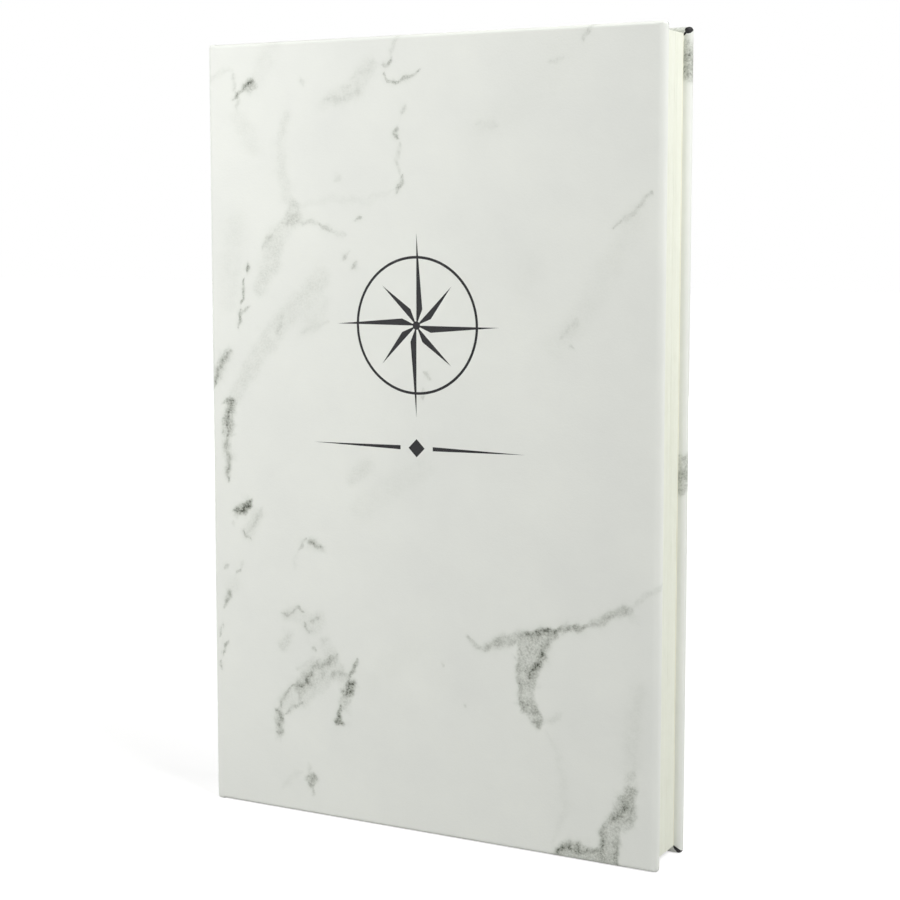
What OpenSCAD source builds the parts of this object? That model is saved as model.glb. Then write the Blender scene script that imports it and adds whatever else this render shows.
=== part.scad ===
// Case-bound journal in faux leather, standing on its tail: three boards under one printed
// skin, a square block of pages between folded endpapers, and covers that hinge at the spine.
// The row origin is the middle of the foot. The spine is at -X and the front cover faces -Y.

/* [Cover] */
// Width over all, from the outside of the spine to the fore edge
cover_w = 133.35; // [110:0.05:180]
// Height over all, from tail to head
cover_h = 209.55; // [150:0.05:260]
// Thickness of the greyboards in both covers and the spine
board_t = 1.8; // [1.4:0.1:3]
// Thickness of the faux leather
wrap_t = 0.5; // [0.3:0.05:0.6]
// Rounding of the padded cover edges
edge_r = 1.3; // [0.9:0.1:1.4]
// Rounding of the fore corners, seen from the front
corner_r = 1.8; // [1.5:0.1:6]
// Width of the faux leather that is folded over inside the boards
turn_in = 15; // [8:0.5:20]
// Width of the seam where two turn-ins meet in a corner
seam_w = 0.3; // [0.2:0.05:0.5]

/* [Spine and joints] */
// Rounding of the skin where it turns from a cover to the spine
spine_r = 1.5; // [1:0.1:1.9]
// Clearance between each cover board and the spine board's inner face
joint_gap = 0.3; // [0.2:0.05:1]
// Slit in the skin along each hinge line
fold_gap = 0.1; // [0.05:0.05:0.2]
// Free space between the lined block and the spine
hollow = 0.3; // [0.2:0.05:1]

/* [Pages] */
// Thickness of the closed block of pages
block_t = 12.9; // [6:0.1:30]
// How far the covers stand past the pages at the fore edge
fore_square = 2; // [1:0.1:5]
// How far the covers stand past the pages at the head
head_square = 1.6; // [1.5:0.1:5]
// How far the covers stand past the pages at the tail
tail_square = 2; // [1.5:0.1:5]
// Thickness of the endpapers
endpaper_t = 0.2; // [0.1:0.05:0.3]
// Thickness of the cloth and paper lining on the block's spine
lining_t = 0.4; // [0.2:0.05:0.6]

/* [Headbands] */
// Height of the cloth tab glued to the block's spine
band_tab = 8; // [5:0.5:15]
// Radius of the woven bead
bead_r = 0.6; // [0.4:0.05:0.65]

/* [Engraving] */
// Depth of the engraving in the front skin
engrave_depth = 0.12; // [0.05:0.01:0.2]
// Distance of the rose's centre from the spine
rose_x = 65; // [40:0.5:80]
// Distance of the rose's centre from the tail
rose_z = 135; // [80:0.5:160]
// Reach of the rose's long points
rose_long = 24; // [15:0.5:28]
// Reach of the rose's short points
rose_short = 14.5; // [10:0.5:20]
// Radius at which the points meet
rose_waist = 4.6; // [3:0.1:6]
// Radius of the dot in the rose's middle, where all the points run together
rose_dot = 1.1; // [0.6:0.1:2]
// Radius of the ring behind the points
ring_r = 18; // [12:0.5:24]
// Width of the ring's line
ring_line = 0.7; // [0.4:0.1:1.5]
// Drop from the rose's centre to the rule below it
rule_drop = 32; // [29:0.5:40]
// Length of each half of the rule
rule_half = 27; // [10:0.5:35]
// Height of the rule at its thick end
rule_line = 1.1; // [0.6:0.1:2]
// Half width of the lozenge in the middle of the rule
lozenge_r = 2.4; // [1.5:0.1:4]

/* [Hidden] */
$fn = 48;

// Cover thickness at its edges: skin, board and turn-in
cover_t = board_t + 2 * wrap_t;
// Thickness of the whole closed book
book_t = block_t + 2 * (cover_t + 2 * endpaper_t);
// The edge rounding leaves a narrow flat on the thinnest cover
least_flat = 0.1;
edge = min(edge_r, (cover_t - least_flat) / 2);
// Where the cover boards start, and the spine board's ends
board_start = wrap_t + board_t + joint_gap;
// Pages, measured from the spine and the tail
block_start = cover_t + hollow + lining_t;
page_w = cover_w - fore_square - block_start;
page_h = cover_h - head_square - tail_square;
block_y = cover_t + 2 * endpaper_t;
// The pastedown's spine edge
paste_start = cover_t + endpaper_t + joint_gap;
paste_w = cover_w - fore_square - paste_start;
// Extra length of each cutter past the solid it cuts
over = 1;
// Number of long and short points of the rose together
points = 8;

// Flat strip with both corners of its far end rounded
module rounded_strip(reach, thick, r) {
    difference() {
        square([reach, thick]);
        for (flip = [0, 1])
            translate([reach - r, flip * thick])
                mirror([0, flip])
                    corner_waste(r);
    }
}

// What a rounding of radius r takes off the corner at (r, 0)
module corner_waste(r) {
    difference() {
        translate([0, -over]) square([r + over, r + over]);
        translate([0, r]) circle(r = r);
    }
}

// Panel from the spine at X = 0 to a fore edge at X = w, rounded at head, tail and fore edge
module panel(w, h, thick, r, rc) {
    translate([0, 0, rc]) cube([w - rc, thick, h - 2 * rc]);
    translate([w - rc, 0, rc]) linear_extrude(h - 2 * rc) rounded_strip(rc, thick, r);
    for (flip = [0, 1])
        translate([0, 0, flip * h])
            mirror([0, 0, flip])
                translate([0, 0, rc]) {
                    rotate([0, 90, 0]) linear_extrude(w - rc) rounded_strip(rc, thick, r);
                    translate([w - rc, 0, 0])
                        rotate([-90, 0, 0])
                            rotate_extrude(angle = 90) rounded_strip(rc, thick, r);
                }
}

// Outline of the case in plan, used to round the spine's outer corners
module spine_corner_waste(r, inset) {
    translate([inset + r, inset, -over])
        linear_extrude(cover_h + 2 * over)
            mirror([1, 0])
                corner_waste(r);
}

// Everything on the spine's side of the hinge plane at the front, or on the cover's side
module beyond_hinge(side) {
    step = fold_gap / sqrt(2);
    far = book_t + cover_w;
    outline = side == "spine"
        ? [[-over, -over - step], [far, far - step], [-over, far]]
        : [[-over, -over + step], [far, far + step], [far, -over]];
    translate([0, 0, -over])
        linear_extrude(cover_h + 2 * over)
            polygon(outline);
}

// Closed body of one cover, as far as the hinge plane
module cover_body() {
    difference() {
        panel(cover_w, cover_h, cover_t, edge, corner_r);
        spine_corner_waste(spine_r, 0);
        beyond_hinge("spine");
    }
}

// Room for the board inside the skin, running on past the hinge plane
module cover_room() {
    difference() {
        translate([wrap_t, wrap_t, wrap_t])
            panel(cover_w - 2 * wrap_t, cover_h - 2 * wrap_t, board_t, edge - wrap_t, corner_r - wrap_t);
        spine_corner_waste(spine_r - wrap_t, wrap_t);
    }
}

// Seams of the two fore corners, from the turn-ins' inner corner to the cover's corner
module corner_seams() {
    reach = (turn_in + over) * sqrt(2);
    for (flip = [0, 1])
        translate([cover_w - turn_in, cover_t - wrap_t, flip * cover_h])
            mirror([0, 0, flip])
                translate([0, 0, turn_in])
                    rotate([0, 45, 0])
                        translate([-over, 0, -seam_w / 2])
                            cube([reach + over, wrap_t + over, seam_w]);
}

// Skin of one cover: outside face, edges and turn-ins
module cover_skin() {
    difference() {
        cover_body();
        cover_room();
        translate([-over, cover_t - wrap_t, turn_in])
            cube([cover_w - turn_in + over, wrap_t + over, cover_h - 2 * turn_in]);
        corner_seams();
    }
}

module cover_board() {
    translate([board_start, wrap_t, wrap_t])
        panel(cover_w - wrap_t - board_start, cover_h - 2 * wrap_t, board_t, edge - wrap_t, corner_r - wrap_t);
}

// Endpaper glued inside a cover: over the turn-ins at its rim, pressed to the board between them
module pastedown() {
    bed_w = cover_w - turn_in - paste_start;
    bed_h = cover_h - 2 * turn_in;
    difference() {
        union() {
            translate([paste_start, cover_t, tail_square]) cube([paste_w, endpaper_t, page_h]);
            translate([paste_start, cover_t - wrap_t, turn_in]) cube([bed_w, wrap_t + endpaper_t, bed_h]);
        }
        translate([paste_start - over, cover_t - wrap_t + endpaper_t, turn_in + endpaper_t])
            cube([bed_w + over - endpaper_t, wrap_t + over, bed_h - 2 * endpaper_t]);
    }
}

module flyleaf() {
    translate([block_start, cover_t + endpaper_t, tail_square])
        cube([page_w, endpaper_t, page_h]);
}

// Triangle that fills one side of one point of the rose
module rose_blade(reach, turn) {
    half_step = 180 / points;
    rotate(turn)
        polygon([[0, 0], [0, reach], [rose_waist * sin(half_step), rose_waist * cos(half_step)]]);
}

// Eight-pointed rose with a dot in its middle and a ring behind it
module rose() {
    circle(r = rose_dot);
    for (i = [0 : points - 1])
        rose_blade(i % 2 == 0 ? rose_long : rose_short, i * 360 / points);
    difference() {
        circle(r = ring_r, $fn = 120);
        circle(r = ring_r - ring_line, $fn = 120);
    }
}

// Tapered rule in two halves with a lozenge between them
module rule() {
    start = 2 * lozenge_r;
    for (flip = [0, 1])
        mirror([flip, 0])
            polygon([[start, -rule_line / 2], [start + rule_half, 0], [start, rule_line / 2]]);
    polygon([[-lozenge_r, 0], [0, -lozenge_r], [lozenge_r, 0], [0, lozenge_r]]);
}

module engraving() {
    translate([rose_x, engrave_depth, rose_z])
        rotate([90, 0, 0])
            linear_extrude(engrave_depth + over) {
                rose();
                translate([0, -rule_drop]) rule();
            }
}

// Section of the spine wall, X across and Y up, rounded at head and tail
module spine_section(inset) {
    thick = cover_t - 2 * inset;
    r = edge - inset;
    translate([inset, inset + r]) square([thick, cover_h - 2 * (inset + r)]);
    translate([inset + r, inset]) square([thick - 2 * r, cover_h - 2 * inset]);
    for (x = [inset + r, cover_t - inset - r])
        for (z = [inset + r, cover_h - inset - r])
            translate([x, z]) circle(r = r);
}

// Wall along the spine from Y = from to Y = to
module spine_wall(inset, from, to) {
    translate([0, to, 0]) rotate([90, 0, 0]) linear_extrude(to - from) spine_section(inset);
}

module both_ends() {
    children();
    translate([0, book_t, 0]) mirror([0, 1, 0]) children();
}

// Closed band on the block's spine whose bead stands on the head or tail of the pages
module band() {
    bead_x = block_start + bead_r / 2;
    difference() {
        translate([bead_x, block_y + block_t, cover_h - head_square + bead_r / 2])
            rotate([90, 0, 0])
                cylinder(r = bead_r, h = block_t);
        translate([block_start, block_y - over, 0])
            cube([2 * bead_r + over, block_t + 2 * over, cover_h - head_square]);
    }
    translate([block_start - lining_t, block_y, cover_h - head_square - band_tab])
        cube([lining_t, block_t, band_tab + bead_r / 2]);
}

// Puts the book, built from its spine, front face and tail, into the row frame
module place() {
    translate([-cover_w / 2, -book_t / 2, 0]) children();
}

// Turns what is built for the front into its partner at the back
module at_back() {
    place() translate([0, book_t, 0]) mirror([0, 1, 0]) children();
}

module text_block() {
    color("#ece9d3")
        place()
            translate([block_start, block_y, tail_square]) cube([page_w, block_t, page_h]);
}

module front_flyleaf() {
    color("#f2f0df") place() flyleaf();
}

module back_flyleaf() {
    color("#f2f0df") at_back() flyleaf();
}

module spine_lining() {
    color("#c9b48a")
        place()
            translate([block_start - lining_t, block_y, tail_square + band_tab])
                cube([lining_t, block_t, page_h - 2 * band_tab]);
}

module head_band() {
    color("#f4f4f0") place() band();
}

module tail_band() {
    color("#f4f4f0")
        place()
            translate([0, 0, cover_h - head_square + tail_square]) mirror([0, 0, 1]) band();
}

module spine_board() {
    color("#8f8b82") place() spine_wall(wrap_t, board_start, book_t - board_start);
}

module spine_skin() {
    color("#e6e7e1")
        place()
            difference() {
                spine_wall(0, 0, book_t);
                difference() {
                    spine_wall(wrap_t, wrap_t, book_t - wrap_t);
                    both_ends() spine_corner_waste(spine_r - wrap_t, wrap_t);
                }
                both_ends() spine_corner_waste(spine_r, 0);
                both_ends() beyond_hinge("cover");
                translate([cover_t - wrap_t, -over, turn_in])
                    cube([wrap_t + over, book_t + 2 * over, cover_h - 2 * turn_in]);
            }
}

module front_board() {
    color("#8f8b82") place() cover_board();
}

module front_skin() {
    color("#e6e7e1")
        place()
            difference() {
                cover_skin();
                engraving();
            }
}

module front_pastedown() {
    color("#f2f0df") place() pastedown();
}

module back_board() {
    color("#8f8b82") at_back() cover_board();
}

module back_skin() {
    color("#e6e7e1") at_back() cover_skin();
}

module back_pastedown() {
    color("#f2f0df") at_back() pastedown();
}

text_block();
front_flyleaf();
back_flyleaf();
spine_lining();
head_band();
tail_band();
spine_board();
spine_skin();
front_board();
front_skin();
front_pastedown();
back_board();
back_skin();
back_pastedown();
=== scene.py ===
import math

import bmesh
import bpy
import numpy as np
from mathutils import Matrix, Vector, geometry


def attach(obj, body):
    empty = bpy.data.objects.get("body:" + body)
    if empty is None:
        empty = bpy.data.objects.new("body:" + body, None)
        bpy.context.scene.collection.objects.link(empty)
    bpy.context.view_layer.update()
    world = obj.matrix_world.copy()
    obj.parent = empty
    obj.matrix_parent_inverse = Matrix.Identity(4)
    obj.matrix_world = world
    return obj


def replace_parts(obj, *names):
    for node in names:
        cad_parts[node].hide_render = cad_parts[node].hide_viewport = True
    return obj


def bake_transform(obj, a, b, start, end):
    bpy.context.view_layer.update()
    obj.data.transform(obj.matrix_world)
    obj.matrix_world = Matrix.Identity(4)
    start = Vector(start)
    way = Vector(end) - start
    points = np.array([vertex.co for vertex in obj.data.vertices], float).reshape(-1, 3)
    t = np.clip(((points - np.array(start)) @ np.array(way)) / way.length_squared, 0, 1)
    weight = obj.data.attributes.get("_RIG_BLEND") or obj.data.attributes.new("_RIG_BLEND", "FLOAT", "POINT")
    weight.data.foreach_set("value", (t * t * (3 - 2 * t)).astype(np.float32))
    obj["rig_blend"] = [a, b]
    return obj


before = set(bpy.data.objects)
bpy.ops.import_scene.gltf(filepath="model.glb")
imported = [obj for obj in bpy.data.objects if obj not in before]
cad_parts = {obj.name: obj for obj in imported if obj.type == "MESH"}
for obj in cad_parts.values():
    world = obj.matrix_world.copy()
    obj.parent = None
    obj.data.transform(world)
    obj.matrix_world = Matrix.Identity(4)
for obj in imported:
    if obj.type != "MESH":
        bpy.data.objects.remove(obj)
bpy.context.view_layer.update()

# Sizes in millimetres, as the part's source has them. "Book" coordinates run from the spine (X),
# the front face (Y) and the tail (Z); row() turns them into the shared frame in metres.
MM = 0.001
COVER_W, COVER_H, BOOK_T = 133.35, 209.55, 19.3
COVER_T, WRAP_T, TURN_IN = 2.8, 0.5, 15.0
SPINE_R = 1.5
BLOCK_START, BLOCK_T = 3.5, 12.9
FORE_SQUARE, HEAD_SQUARE, TAIL_SQUARE = 2.0, 1.6, 2.0
ENDPAPER_T, LINING_T = 0.2, 0.4
PASTE_START = 3.3
ENGRAVE_DEPTH = 0.12
ROSE_X, ROSE_Z = 65.0, 135.0
ROSE_LONG, ROSE_SHORT, ROSE_WAIST, ROSE_DOT = 24.0, 14.5, 4.6, 1.1
RING_R, RING_LINE, POINTS = 18.0, 0.7, 8
RULE_DROP, RULE_HALF, RULE_LINE, LOZENGE_R = 32.0, 27.0, 1.1, 2.4
PIVOT = SPINE_R * (1 - math.sqrt(0.5))
HALF_T = COVER_T / 2
PAGE_END = COVER_W - FORE_SQUARE
PAGE_TOP = COVER_H - HEAD_SQUARE
PAGE_FRONT, FLYLEAF_Y = COVER_T + 2 * ENDPAPER_T, COVER_T + 1.5 * ENDPAPER_T

# Sizes that only the looks have, in millimetres too. The outer corners are tighter than the
# solids', as in the photo.
CORNER_R = 1.0
# The padded cover edges: how far the rounding runs in over the face, and over the inside. The fore
# edge is padded more than the head and tail. The flat of the face starts a little past it.
SOFT_FACE, SOFT_IN = 2.0, 1.5
END_FACE, END_IN = 0.9, 0.7
FLAT_GAP = 0.35
FLAT_FORE, FLAT_END = SOFT_FACE + FLAT_GAP, END_FACE + FLAT_GAP
# Insets of the rows of points that follow the rounding on the turn-in
PAST_ROUND, TURN_IN_ROWS = 0.25, (2.4, 4.0)
# Under the skin the boards' edges are rounded, by at most this share of the board's thickness
BOARD_R, BOARD_R_SHARE, PAST_BOARD = 0.8, 0.45, 0.3
# The groove of the mitre at the fore corners, where the turn-ins meet: half width and depth
SEAM_HALF, SEAM_DEPTH = 0.11, 0.22
# The bending strip of skin reaches to the boards' edges along the spine and along the cover. In it
# the turn-in lies flat on the skin, so it is thinner than a covered board.
JOINT, FOLD_T, FOLD_IN = 2.58, 1.06, 0.5
# The strip bends from the place (near, far) on the spine's leg to (far, near) on the cover's
BEND_NEAR, BEND_FAR = 0.3, 1.7
# Next to the strip the turn-in is pulled thin over the board's edge, over this width
PULLED_T, PULL_W = 2.36, 0.8
# The turn-in on the boards' edges in the joint: thickness, inset from head and tail, depths
EDGE_T, EDGE_INSET, EDGE_DEPTHS = 0.10, 0.45, (0.7, 2.1)
# The turn-in lifts the endpaper on it by all but a little, and past its edge that fades out
PRESSED, LIFT_START, LIFT_RUN = 0.06, 0.1, 1.1
LIFT = WRAP_T - PRESSED
# The endpaper's fold in the joint: half the gap between its legs, thickness, the band that bends and
# how close to the hinge line it goes, alone and where it lies on the turn-in
LEG_OFF, LEG_T, BAND_OFF = 0.10, 0.08, 0.055
NEAR, NEAR_ON_TURN_IN = 0.82, 1.5
# Where the legs end, and the points that lead them on: the pastedown's over the board's edge, with
# the share of the lift that each point takes, and the flyleaf's from a short lap on the flyleaf
PASTE_LEG_END, FLY_LEG_END = 2.52, 2.8
PASTE_BEND = ((2.60, 2.44, 0.0), (2.72, 2.485, 0.12), (2.9, 2.5, 0.45), (3.1, 2.49, 0.8))
FLY_LAP = 0.06
FLY_BEND = ((BLOCK_START + FLY_LAP, FLYLEAF_Y), (3.25, FLYLEAF_Y), (3.05, FLYLEAF_Y - 0.03),
            (2.91, FLYLEAF_Y - 0.1))
# The fold's shoulder and how far it laps over each leg
SHOULDER, SHOULDER_OFF, LAP = 0.07, 0.118, 0.35


def row(p):
    """Book millimetres to the shared frame."""
    p = np.asarray(p, float)
    return (p - np.array([COVER_W / 2, BOOK_T / 2, 0.0])) * MM


def mirrored(p):
    """Front-half points to their partners at the back."""
    q = np.array(p, float)
    q[:, 1] = BOOK_T - q[:, 1]
    return q


def ease(t):
    """A smooth step from 0 to 1."""
    t = np.clip(t, 0, 1)
    return t * t * (3 - 2 * t)


# Shader nodes

class Field:
    """An output of a shader node. Arithmetic on it adds math nodes."""

    def __init__(self, nodes, socket):
        self.nodes, self.socket = nodes, socket

    def __add__(self, other):
        return self.nodes.math("ADD", self, other)

    def __sub__(self, other):
        return self.nodes.math("SUBTRACT", self, other)

    def __rsub__(self, other):
        return self.nodes.math("SUBTRACT", other, self)

    def __mul__(self, other):
        return self.nodes.math("MULTIPLY", self, other)

    def __pow__(self, other):
        return self.nodes.math("POWER", self, other)

    def __rpow__(self, other):
        return self.nodes.math("POWER", other, self)


class Nodes:
    """Short calls that fill the emptied node tree of a material or world."""

    def __init__(self, owner, output="ShaderNodeOutputMaterial"):
        owner.use_nodes = True
        self.owner, self.tree = owner, owner.node_tree
        self.tree.nodes.clear()
        self.out = self.tree.nodes.new(output)

    def add(self, kind, **props):
        node = self.tree.nodes.new(kind)
        for key, value in props.items():
            setattr(node, key, value)
        return node

    def put(self, socket, value):
        if isinstance(value, Field):
            self.tree.links.new(value.socket, socket)
        elif value is not None:
            socket.default_value = value

    def texture(self, kind, at, output, sockets, **props):
        node = self.add(kind, **props)
        self.put(node.inputs["Vector"], at)
        for name, value in sockets.items():
            self.put(node.inputs[name], value)
        return Field(self, node.outputs[output])

    def noise(self, at, scale, detail=3.0, rough=0.5):
        return self.texture("ShaderNodeTexNoise", at, "Fac",
                            {"Scale": scale, "Detail": detail, "Roughness": rough})

    def voronoi(self, at, scale, feature, **sockets):
        return self.texture("ShaderNodeTexVoronoi", at, "Distance", {"Scale": scale, **sockets},
                            feature=feature)

    def math(self, op, a, b=None, clamp=False):
        node = self.add("ShaderNodeMath", operation=op, use_clamp=clamp)
        self.put(node.inputs[0], a)
        self.put(node.inputs[1], b)
        return Field(self, node.outputs[0])

    def stretch(self, at, factors):
        node = self.add("ShaderNodeVectorMath", operation="MULTIPLY")
        self.put(node.inputs[0], at)
        self.put(node.inputs[1], factors)
        return Field(self, node.outputs[0])

    def length(self, at):
        node = self.add("ShaderNodeVectorMath", operation="LENGTH")
        self.put(node.inputs[0], at)
        return Field(self, node.outputs["Value"])

    def split(self, at):
        node = self.add("ShaderNodeSeparateXYZ")
        self.put(node.inputs[0], at)
        return [Field(self, output) for output in node.outputs]

    def attribute(self, name, output="Fac"):
        return Field(self, self.add("ShaderNodeAttribute", attribute_name=name).outputs[output])

    def object_point(self, scale=1 / MM):
        """Object coordinates, in millimetres unless another scale is given."""
        node = self.add("ShaderNodeVectorMath", operation="SCALE")
        self.put(node.inputs[0], Field(self, self.add("ShaderNodeTexCoord").outputs["Object"]))
        self.put(node.inputs["Scale"], scale)
        return Field(self, node.outputs[0])

    def ramp(self, value, *stops):
        node = self.add("ShaderNodeValToRGB")
        self.put(node.inputs[0], value)
        elements = node.color_ramp.elements
        while len(elements) < len(stops):
            elements.new(0.5)
        for element, (place, colour) in zip(elements, stops):
            element.position = place
            element.color = (*colour, 1.0)
        return Field(self, node.outputs[0])

    def map(self, value, low, high, to_low=0.0, to_high=1.0, kind="LINEAR"):
        node = self.add("ShaderNodeMapRange", interpolation_type=kind)
        for name, number in (("Value", value), ("From Min", low), ("From Max", high),
                             ("To Min", to_low), ("To Max", to_high)):
            self.put(node.inputs[name], number)
        return Field(self, node.outputs[0])

    def mix(self, share, a, b):
        node = self.add("ShaderNodeMix", data_type="RGBA")
        self.put(node.inputs["Factor"], share)
        for socket, value in zip([s for s in node.inputs if s.type == "RGBA"], (a, b)):
            self.put(socket, (*value, 1.0) if isinstance(value, tuple) else value)
        return Field(self, [s for s in node.outputs if s.type == "RGBA"][0])

    def bump(self, height, distance, strength=1.0, normal=None):
        node = self.add("ShaderNodeBump")
        for name, value in (("Height", height), ("Distance", distance), ("Strength", strength),
                            ("Normal", normal)):
            self.put(node.inputs[name], value)
        return Field(self, node.outputs[0])

    def shader(self, kind, **sockets):
        """A shader with its named inputs, where a low dash stands for a space."""
        node = self.add(kind)
        for name, value in sockets.items():
            self.put(node.inputs[name.replace("_", " ")], value)
        return Field(self, node.outputs[0])

    def join(self, kind, *inputs):
        """A node that joins shaders."""
        node = self.add(kind)
        for socket, value in zip(node.inputs, inputs):
            self.put(socket, value)
        return Field(self, node.outputs[0])

    def finish(self, surface):
        self.put(self.out.inputs[0], surface)
        return self.owner

    def coat(self, colour, rough, normal, specular):
        return self.finish(self.shader("ShaderNodeBsdfPrincipled", Base_Color=colour, Roughness=rough,
                                       Specular_IOR_Level=specular, Normal=normal))


def material_nodes(name):
    return Nodes(bpy.data.materials.new(name))


def srgb(*levels):
    """Display levels from 0 to 255 as linear colour."""
    return tuple((v / 255 / 12.92) if v / 255 <= 0.04045 else ((v / 255 + 0.055) / 1.055) ** 2.4
                 for v in levels)


# The marble print

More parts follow.
